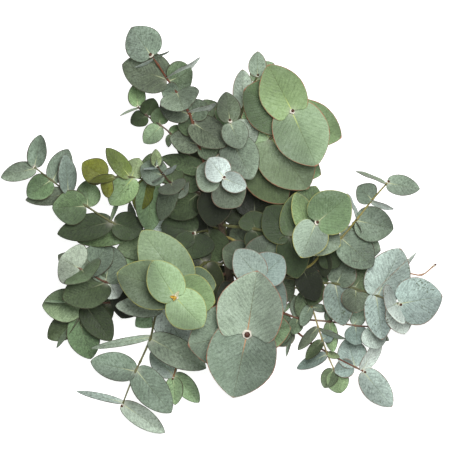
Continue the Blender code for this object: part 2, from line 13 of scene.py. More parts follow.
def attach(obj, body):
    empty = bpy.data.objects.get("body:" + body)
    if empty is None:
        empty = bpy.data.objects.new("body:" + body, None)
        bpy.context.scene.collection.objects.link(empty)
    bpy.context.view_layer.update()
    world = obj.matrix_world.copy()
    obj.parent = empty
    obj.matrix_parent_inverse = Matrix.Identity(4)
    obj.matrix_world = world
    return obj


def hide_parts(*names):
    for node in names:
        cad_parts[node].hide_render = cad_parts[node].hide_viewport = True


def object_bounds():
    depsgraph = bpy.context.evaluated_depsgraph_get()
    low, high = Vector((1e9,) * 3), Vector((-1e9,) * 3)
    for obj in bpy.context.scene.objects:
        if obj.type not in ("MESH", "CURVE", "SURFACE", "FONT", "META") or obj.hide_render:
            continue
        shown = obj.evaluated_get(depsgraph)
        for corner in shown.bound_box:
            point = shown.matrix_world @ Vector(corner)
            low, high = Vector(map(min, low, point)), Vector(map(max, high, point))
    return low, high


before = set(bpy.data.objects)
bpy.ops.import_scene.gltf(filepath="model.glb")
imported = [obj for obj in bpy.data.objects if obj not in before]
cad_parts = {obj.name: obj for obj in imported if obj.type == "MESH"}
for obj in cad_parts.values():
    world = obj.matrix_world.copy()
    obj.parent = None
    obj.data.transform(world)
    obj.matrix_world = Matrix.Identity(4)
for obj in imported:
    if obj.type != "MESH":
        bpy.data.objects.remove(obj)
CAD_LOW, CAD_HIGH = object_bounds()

# A bushy, leafy eucalyptus branch that lies on a white surface, seen from straight above.
# One woody stem carries the crown of thin twigs, which grow towards the eye.
MM = 0.001

# Sizes in millimetres. These place each leaf where its solid is.
LEAF_THICKNESS = 0.9
CLEARANCE = 0.5          # free space kept between a leaf and what belongs to another twig
SEAT_GAP = 0.3           # between a twig's foot and the main stem
FLOOR_GAP = 0.1          # between a resting leaf and the surface
PAIR_STEP = 1.7          # the second leaf of a pair grows this much further down the stem
FOOT_LENGTH = 5.0        # a twig leaves the main stem at right angles for this far
TIP_BUD = 1.6            # the stem runs past its last pair by this much
TIP_RADIUS = 0.75
LEAF_ROOT_OFFSET = 0.25  # a leaf starts this far from the middle of its stem, on its own side

# The woody main stem
MAIN_ROUTE = [(17, -150, 5.3), (16, -124, 5.3), (14, -98, 5.6), (11, -66, 12),
              (6, -30, 34), (0, 5, 66), (-4, 35, 98)]
MAIN_RADIUS_AT_CUT = 6.2
MAIN_RADIUS_AT_TOP = 2.6

# Leaf form, as shares of the leaf's own length or width. Of two values, one is for a plain leaf
# and the other for a fully heart-shaped one.
ROOT_WIDTH = (0.14, 0.62)
FRONT_ROUND = (1.9, 1.75)   # how full the front half is
FRONT_BLUNT = (0.7, 0.78)   # the smaller, the blunter the apex
WIDEST_AT = 0.42
LOBE_REACH = 0.13        # how far the lobes of a heart-shaped leaf reach behind its foot
DROOP = 0.05             # how far the apex bends down
ROW_SPREAD = 1.3
OUTLINE_SWELL = 1.04     # widens the coarse outline, so that it isn't smaller than the curved one
LEAF_COLUMNS = 2
ROWS_BY_WIDTH = ((42.0, 4), (26.0, 3), (0.0, 2))   # wider leaves get more rows of faces
PLAIN_FOLD = 9           # degrees that each half of a leaf is folded up along the midrib

# Stem detail
STEM_SECTION = 26.0      # longest section of a twig's tube
STEM_SIDES_RESOLUTION = 0
MAIN_SECTION = 16.0
MAIN_SIDES_RESOLUTION = 2

# Small changes tried, least first, on a leaf that would cross another twig
BENDS = (0, 4, -4, 8, -8, 13, -13, 20, -20, 30, -30)
TURNS = (0, 6, -6, 14, -14, 26, -26)
SHRINKS = (1.0, 0.94, 0.87, 0.78, 0.68)
BEND_COST = 6.0
TURN_COST = 9.0
SHRINK_COST = 18.0
STEEPEST = 80.0          # a resting leaf's bend is searched for between this and its opposite, in degrees
HALVINGS = 24
ROUNDING = 0.01          # millimetres by which a resting leaf may miss the surface

# A leaf grows from a node of its twig's route and reaches to plan position x, y.
# width is its true width; rise tips it up towards the eye, turn rolls it round its midrib.
Leaf = namedtuple("Leaf", "node x y width rise turn fold rests", defaults=(0, 0, PLAIN_FOLD, False))
RESTS = True             # the leaf lies on the surface
Twig = namedtuple("Twig", "name station radius heart color route leaves")

# Looks of the leaves and stems, as sRGB colours of 0 to 255
FROST = (206, 219, 210)
PALE_BLOOM = (186, 201, 191)
SILVER = (166, 184, 175)
SILVER_GREEN = (144, 163, 154)
SLATE = (126, 144, 134)
PALE_SAGE = (166, 180, 161)
LIGHT_SAGE = (148, 165, 143)
SAGE = (128, 145, 124)
DULL_SAGE = (114, 130, 110)
GREY = (98, 110, 90)
DARK_GREY = (86, 99, 77)
PALE_GREEN = (150, 168, 121)
YOUNG = (148, 175, 129)
BRIGHT = (142, 168, 130)
NEW_GREEN = (132, 154, 117)
FRESH = (128, 154, 105)
LEAF_GREEN = (108, 133, 93)
DULL_GREEN = (104, 122, 92)
MID_GREEN = (90, 112, 74)
DARK_GREEN = (76, 92, 60)
# DEEP, SHADE and DEEP_SHADE go to the inner and lower leaves: partly their own older, darker green and
# partly painted shade of the crown's deep middle
DEEP = (56, 71, 42)
SHADE = (42, 50, 28)
DEEP_SHADE = (29, 37, 19)
OLIVE_YELLOW = (114, 119, 30)
OLIVE_DARK = (84, 92, 20)
OLIVE_GREEN = (102, 119, 54)

RED_BROWN = (112, 56, 28)
DARK_BROWN = (74, 54, 38)
BROWN = (104, 66, 44)
YELLOW_OLIVE = (150, 140, 66)
OLIVE_STEM = (92, 96, 50)
STRAW = (166, 152, 98)
ORANGE_STEM = (160, 104, 52)
PINK_STRAW = (182, 140, 112)

YELLOW_RIM = (168, 166, 92)
PINK_RIM = (170, 110, 86)
DARK_RIM = (62, 46, 30)
PALE_RIM = (196, 196, 160)
BROWN_RIM = (138, 112, 96)
PALE_MIDRIB = (196, 204, 160)
LIME_MIDRIB = (186, 200, 118)
WARM_MIDRIB = (192, 138, 96)
LEAF_BASE = (240, 234, 218)
BLOOM = (196, 210, 202)
SPECK = (66, 78, 42)
DARK_BUD = (84, 42, 24)
YELLOW_BUD = (212, 170, 56)
CREAM = (232, 230, 190)
STEM_SHADOW = (48, 36, 26)
STEM_BLOOM = (190, 178, 150)
BARK_CRACK = (42, 32, 24)
BARK_RIDGE = (86, 70, 54)
BARK_PATCH = (104, 92, 74)
WOOD_LIGHT = (206, 184, 140)
WOOD_DARK = (172, 142, 98)
BUD_SHADOW = (0.02, 0.015, 0.01)   # this one is linear

# The tints go to a twig's leaves in the table's order, and the last one to all that are left.
Look = namedtuple("Look", "tints stem rim midrib bud",
                  defaults=(OLIVE_STEM, DARK_RIM, PALE_MIDRIB, DARK_BUD))
LOOKS = {
    "crown_tip": Look([FROST, PALE_BLOOM, DULL_SAGE, GREY, DULL_SAGE, DEEP_SHADE], rim=BROWN_RIM),
    "northeast_leader": Look([FRESH, NEW_GREEN, FRESH, MID_GREEN, DULL_GREEN, YOUNG, LEAF_GREEN,
        DARK_GREEN], rim=PINK_RIM, midrib=LIME_MIDRIB),
    "south_big": Look([LIGHT_SAGE, DULL_SAGE, SAGE, LEAF_GREEN, DEEP_SHADE], rim=PINK_RIM,
        midrib=WARM_MIDRIB),
    "southwest_bright": Look([YOUNG, YOUNG, FRESH, DULL_GREEN, NEW_GREEN, DULL_GREEN, SHADE],
        rim=YELLOW_RIM, midrib=LIME_MIDRIB, bud=YELLOW_BUD),
    "north_pair": Look([DARK_GREY, DULL_SAGE, DULL_SAGE, PALE_SAGE, MID_GREEN], stem=DARK_BROWN),
    "east_centre": Look([LEAF_GREEN, LIGHT_SAGE, FRESH, DULL_SAGE, MID_GREEN, DEEP], rim=YELLOW_RIM),
    "south_pale_pair": Look([SILVER_GREEN, SILVER_GREEN, GREY, SLATE, DARK_GREY], rim=BROWN_RIM),
    "northwest_leader": Look([DULL_SAGE, SAGE, SAGE, PALE_BLOOM, FROST, DARK_GREY, DULL_GREEN, DULL_SAGE,
        FROST, GREY, DARK_GREY, GREY, DARK_GREEN, GREY, DULL_GREEN, DARK_GREEN], stem=RED_BROWN),
    "northwest_centre": Look([PALE_GREEN, SAGE, SILVER_GREEN, FROST, GREY, DULL_SAGE, GREY, DARK_GREEN,
        DARK_GREY, SAGE, DARK_GREEN, DARK_GREEN, DEEP], stem=DARK_BROWN),
    "olive_west": Look([OLIVE_YELLOW, OLIVE_YELLOW, OLIVE_DARK, OLIVE_GREEN, PALE_GREEN, FRESH,
        OLIVE_DARK, LEAF_GREEN, MID_GREEN], midrib=LIME_MIDRIB, bud=YELLOW_BUD),
    "north_pale": Look([LIGHT_SAGE, BRIGHT, PALE_SAGE, SAGE, LEAF_GREEN], rim=BROWN_RIM),
    "northwest_small": Look([FRESH, LEAF_GREEN, DEEP, DEEP, LEAF_GREEN, NEW_GREEN, LEAF_GREEN, MID_GREEN],
        stem=DARK_BROWN),
    "east_long": Look([LIGHT_SAGE, DULL_GREEN, DULL_SAGE, FROST, SLATE, DULL_SAGE, GREY, DULL_SAGE, SAGE,
        DEEP, SHADE, DEEP, DEEP_SHADE, DARK_GREY], stem=YELLOW_OLIVE),
    "far_east_pale": Look([SILVER, FROST, FROST, SILVER, SILVER, PALE_BLOOM, GREY, DARK_GREEN, GREY,
        SLATE, DEEP, DEEP, DEEP, DARK_GREY], rim=BROWN_RIM),
    "west_long": Look([DULL_SAGE, SAGE, LEAF_GREEN, DULL_SAGE, SLATE, GREY, MID_GREEN, LEAF_GREEN,
        LEAF_GREEN, DEEP, DEEP, DEEP, MID_GREEN, FROST, NEW_GREEN]),
    "west_southwest": Look([PALE_SAGE, MID_GREEN, DULL_SAGE, GREY, DULL_SAGE, DARK_GREEN, FROST, YOUNG,
        DEEP_SHADE], stem=BROWN),
    "southwest_long": Look([PALE_SAGE, SILVER, SAGE, SAGE, LIGHT_SAGE, LIGHT_SAGE, FROST, PALE_SAGE,
        MID_GREEN]),
    "southeast_brown": Look([PALE_BLOOM, SAGE, SLATE, LIGHT_SAGE, YOUNG, SAGE, DULL_SAGE, DULL_GREEN,
        LEAF_GREEN, DULL_GREEN], stem=BROWN),
    "southeast_thin": Look([YOUNG, DULL_GREEN, SLATE, PALE_GREEN, DARK_GREEN, SILVER_GREEN, SAGE, GREY,
        DULL_SAGE, SAGE, DULL_GREEN, DEEP], stem=STRAW),
    "southeast_low": Look([SILVER, FROST, SILVER, SILVER_GREEN, SAGE, GREY], stem=RED_BROWN,
        rim=BROWN_RIM),
    "west_low_green": Look([DARK_GREEN, LEAF_GREEN, DULL_GREEN, NEW_GREEN, DEEP, BRIGHT, DEEP, DEEP,
        BRIGHT, SHADE], stem=BROWN),
    "south_small": Look([YOUNG, PALE_BLOOM, YOUNG], stem=ORANGE_STEM),
    "far_east_thin": Look([GREY], stem=PINK_STRAW),
    # The inner twigs fill the crown's hollow; their dark tints are partly painted shade
    "inner_west": Look([DEEP, DEEP, DARK_GREEN, SHADE]),
    "inner_east": Look([DEEP_SHADE, DEEP_SHADE, SHADE, SHADE, DEEP_SHADE]),
    "under_north": Look([DULL_GREEN, DEEP, SHADE]),
}

# How strongly a twig's leaves are specked with dark green, and how rough their surface looks
FEW_SPECKS = 0.25
SPECKS = {"far_east_pale": 0.8, "southeast_low": 0.5, "east_long": 0.5, "olive_west": 0.7}
PLAIN_TEXTURE = 1.0
TEXTURES = {"northeast_leader": 0.6, "southwest_bright": 0.6, "east_centre": 0.75, "south_big": 0.85,
            "crown_tip": 0.9, "south_pale_pair": 0.75, "northwest_leader": 1.25, "far_east_pale": 1.05,
            "olive_west": 0.8}

# Tiny young leaves round a twig's bud: heading in plan, then length, width and tint
TIP_LEAVES = {
    "southwest_bright": [(0.6, 0.9, 9.0, 5.5, CREAM), (-1.0, 0.2, 6.0, 4.5, YELLOW_BUD),
                         (-0.3, -0.9, 4.5, 3.5, YELLOW_BUD)],
    "olive_west": [(-0.9, -0.2, 6.0, 4.0, PALE_RIM), (0.7, -0.6, 5.0, 3.0, OLIVE_DARK)],
    "northwest_centre": [(0.2, 0.9, 5.0, 3.5, PALE_SAGE), (-0.6, -0.6, 4.0, 3.0, PALE_SAGE)],
}
TIP_LEAF_RISE = 0.7      # how steeply they rise, and their fold in degrees
TIP_LEAF_FOLD = 45

# Fine leaf form
FINE_THICKNESS = 0.5     # in millimetres, at the midrib
RIM_THICKNESS = 0.28
RIM_BAND = 1.0           # width of the coloured rim
MIDRIB_WIDTH = 0.22      # half width of the midrib at a small leaf's foot
MIDRIB_GROWTH = 0.005    # and how much of the leaf's width is added to it
MIDRIB_GROOVE = 0.12
MIDRIB_RIDGE = 0.4       # the midrib stands out this far from the underside
MIDRIB_TAPER = 0.8       # how much narrower the midrib is at the apex
MIDRIB_LIMIT = 0.2       # its half width is at most this share of the leaf's
MIDRIB_COLUMNS = (0.7, 1.5)   # columns of points on the midrib and just beside it, in its half widths
SHARPEST = 0.012         # half width of a leaf's very ends, as a share of its widest
RIM_LIMIT = 0.8          # the rim starts no nearer to the midrib than this
RIM_FREE = 0.97          # the last plain column stays this much of the way inside the rim
FINE_COLUMNS = (0.22, 0.42, 0.6, 0.76, 0.88)
FINE_ROWS = 16
SMALL_LEAF_ROWS = 10
SMALL_LEAF_WIDTH = 18.0
WAVE = 0.018             # height of the waves along the rim, as a share of the leaf's width
WAVE_HEIGHTS = (0.4, 1.2)     # chance changes it by such factors
WAVE_NUMBERS = (0.9, 1.7)     # and there are this many along a rim
WAVE_SPREAD = 1.6        # the larger, the closer waves keep to the rim; so for the sag
SAG_SPREAD = 3
SAG_RANGE = (-0.4, 1.0)
CURLY = {"west_long": 2.6, "olive_west": 2.8, "southwest_long": 2.2, "east_long": 1.6,
         "southeast_thin": 1.6, "far_east_pale": 1.5}   # twigs whose leaves wave and sag more
SAG = 0.035              # how far a side's rim may bend down, as a share of the width
SKEW = 0.05              # one half of a leaf is this much wider than the other, at most
SOFT_FOLD = 0.10         # the fold along the midrib is rounded over this share of the width
TINT_CHANGE = 0.06
# Painted shade of the leaves: their tints are lighter on one half and one end, as a fold and a slope
# facing the light would look
PAINTED_HALF_SHADE = 0.32        # painted shade: one half of a leaf may be this much lighter than its middle
PAINTED_SHADE_STEP = 5.0          # how sudden that change is at the midrib
PAINTED_END_SHADE = 0.2          # and one end of it this much
LOBE_ROUNDING = 0.35     # rounds the corners of a heart-shaped leaf's lobes
FIT_STEP = 0.985         # a leaf that would leave the solid model's box is drawn in by such steps
FOOT_GLOW = 0.28         # the paler foot reaches this far, as a share of the leaf's length
VEIN_COUNT = 7.0         # side veins along a narrow leaf
VEIN_GROWTH = 0.13       # and how many more there are for each millimetre of width
VEIN_STARTS = 40         # so many different pieces of the streaks' pattern are used
VEIN_SLANT = (0.9, 0.7)  # how steeply the lowest side veins rise, on a plain and a heart-shaped leaf
VEIN_FAN = (0.3, 0.9)    # and how much steeper the ones near the apex are
UNDERSIDE = (168, 180, 170)
UNDERSIDE_SHARE = 0.35

# Leaf skin. A pattern has its scale (the larger, the finer), then its detail and its roughness.
# A range has the two limits of a value, and then what it becomes there, if that isn't 0 and 1.
WANDER_SCALE = 70.0
WANDER = 1.3             # how far the side veins wander
VEIN_FADE = (0.55, 0.98, 1.0, 0.2)
VEIN_LINE = (0.0, 0.09, 1.0, 0.0)
BESIDE_VEIN = (0.24, 0.10, 0.0, 1.0)
STREAKS_BY_VEIN = 2.6
STREAKS_TO_RIM = 4.0
STREAKS = (1.0, 2.0, 0.6)
NET_SCALE = 560.0
NET_LINE = (0.0, 0.16, 1.0, 0.0)
PATCHES = (32.0, 4.0, 0.6)
MOTTLING = (150.0, 4.0, 0.7)
GRAIN = (430.0, 2.0, 0.7)
MEAN_LIGHT = 0.97        # of the leaf's own tint, and what each pattern adds to it
PATCH_LIGHT = 0.6
MOTTLING_LIGHT = 0.6
GRAIN_LIGHT = 1.0
STREAK_LIGHT = 0.95
VEIN_LIGHT = 0.10
BESIDE_LIGHT = -0.14
NET_LIGHT = -0.2
FOOT_LIGHT = 0.12
LIGHT_TINTS = (0.04, 0.2)   # from here to there a tint gets its full bloom, rim and midrib
BLOOM_PATCHES = (0.42, 0.7)
BLOOM_GRAIN = (0.35, 0.7, 0.0, 0.34)
BLOOM_PALENESS = 0.5
FOOT_SHARPNESS = 12.0
FOOT_SHARE = 0.75
FOOT_PALENESS = 0.4
RIB_SHADE = (0.5, 0.52, 0.42)   # the midrib's tint far from the foot, as shares of the leaf's
RIB_SHARE = 0.9
PALE_RIB = (0.08, 0.8, 0.05, 1.0)     # the midrib is palest near the foot
SHADE_DARKENING = 0.8
RIM_SCALE = 90.0
RIM_UNEVENNESS = (0.38, 0.6, 0.4, 1.0)
RIM_EDGE = (0.05, 0.5)
CLUSTERS = (60.0, 2.0)
CLUSTERS_TO_RIM = (0.6, 0.95, 0.0, 0.09)
CLUSTER_EDGE = (0.56, 0.66)
DOTS = (520.0, 2.0)
DOT_EDGE = (0.56, 0.64)
NET_RELIEF = -0.5
VEIN_RELIEF = -0.6
STREAK_RELIEF = 0.8
GRAIN_RELIEF = 0.5
LEAF_ROUGHNESS = (0.3, 0.7, 0.44, 0.66)
LEAF_RELIEF = (0.55, 0.4)   # how strong a skin's relief looks, and its depth in millimetres

# Stem, bark, bud and wood skin
STEM_STREAKS = (300.0, 4.0, 0.6)
STREAK_EDGE = (0.3, 0.7)
STEM_DARKNESS = 0.5
STEM_PATCHES = (45.0, 2.0)
PALE_SIDE = (0.45, 0.7, 0.0, 0.7)
STEM_PALENESS = 0.35
STEM_ROUGHNESS = (0.3, 0.7, 0.62, 0.45)
STEM_RELIEF = (0.4, 0.3)
CRACKS = (420.0, 6.0, 0.7)
CRACK_FLATNESS = (1.0, 0.22, 1.0)
CRACK_EDGE = (0.35, 0.65)
BARK_PATCHES = (55.0, 3.0)
BARK_PATCH_EDGE = (0.48, 0.68, 0.0, 0.7)
BARK_ROUGHNESS = 0.8
BARK_SKIN_RELIEF = (0.7, 0.8)
RING_SCALE = 160.0
RING_WAVINESS = 1.2
WOOD_ROUGHNESS = 0.75
SCALES = (900.0, 2.0)
SCALE_EDGE = (0.35, 0.65)
BUD_DARKNESS = 0.35
BUD_ROUGHNESS = 0.6
FAINT_RELIEF = (0.3, 0.3)

# Fine stem form, in millimetres
STEM_STEP = 4.0
STEM_SIDES = 10
NODE_SWELLING = 0.45
NODE_REACH = 2.2
STEM_INTO = 2.0          # a twig's foot runs this far into the main stem
BARK_STEP = 2.5
BARK_SIDES = 36
BARK_RELIEF = 0.35
BARK_DEPTH = 0.6         # the relief goes this share of it deeper than it stands out
BARK_RIDGES = 3.2        # how many ridges lie round the stem, and how soon they change along it
BARK_CHANGE = 60
BARK_FINENESS = 2.7      # the finer ridges between them, and how high those are
BARK_FINE_SHARE = 0.5
COLLAR_SHARE = 1.5       # radius of a collar and of a bud, as shares of the twig's
BUD_SHARE = 0.9
BUD_SIZES = {"south_big": 1.6, "southwest_bright": 1.25, "west_southwest": 0.4}   # where they differ
BUD_SHIFT = 1.0          # from the twig's last node to where the bud starts
BUD_SIDES = 12
COLLAR_LENGTH = 1.5
COLLAR_SHIFT = -0.3
COLLAR_SIDES = 14
COLLAR_RELIEF = 0.3      # how uneven a collar is, as a share of its radius
RELIEF_ROUND = 1.6       # how often it changes round the collar, and from twig to twig
RELIEF_CHANGE = 900
BUD_LENGTH = 2.6
BALL_START = 0.12        # a bud or collar is this part of a half turn
BALL_PART = 0.86
BALL_STEPS = 6

SEED = 28                # of the chance part of the leaves

# The studio. Lengths are in metres, and the sensor's width is in millimetres.
VIEW_DISTANCE = 10.0     # from the crown's middle height to the camera
VIEW_HEIGHT = 0.08
VIEW_CENTRE = (0.004, 0.004)
VIEW_WIDTH = 0.45
SENSOR = 36.0
KEY_PLACE = (0.3, 0.45, 2.2)
KEY_AIM = (0, 0, 0.05)
KEY_SIZE = 0.9
KEY_POWER = 47
ROOM_LIGHT = 0.3
FLOOR_HALF = 4.0
FLOOR_GREY = 0.7
FLOOR_ROUGHNESS = 0.9
FLOOR_GLOW = 0.82


def twig_of(name, station, radius, heart, color, route, *leaves):
    return Twig(name, station, radius, heart, color, route, [Leaf(*leaf) for leaf in leaves])


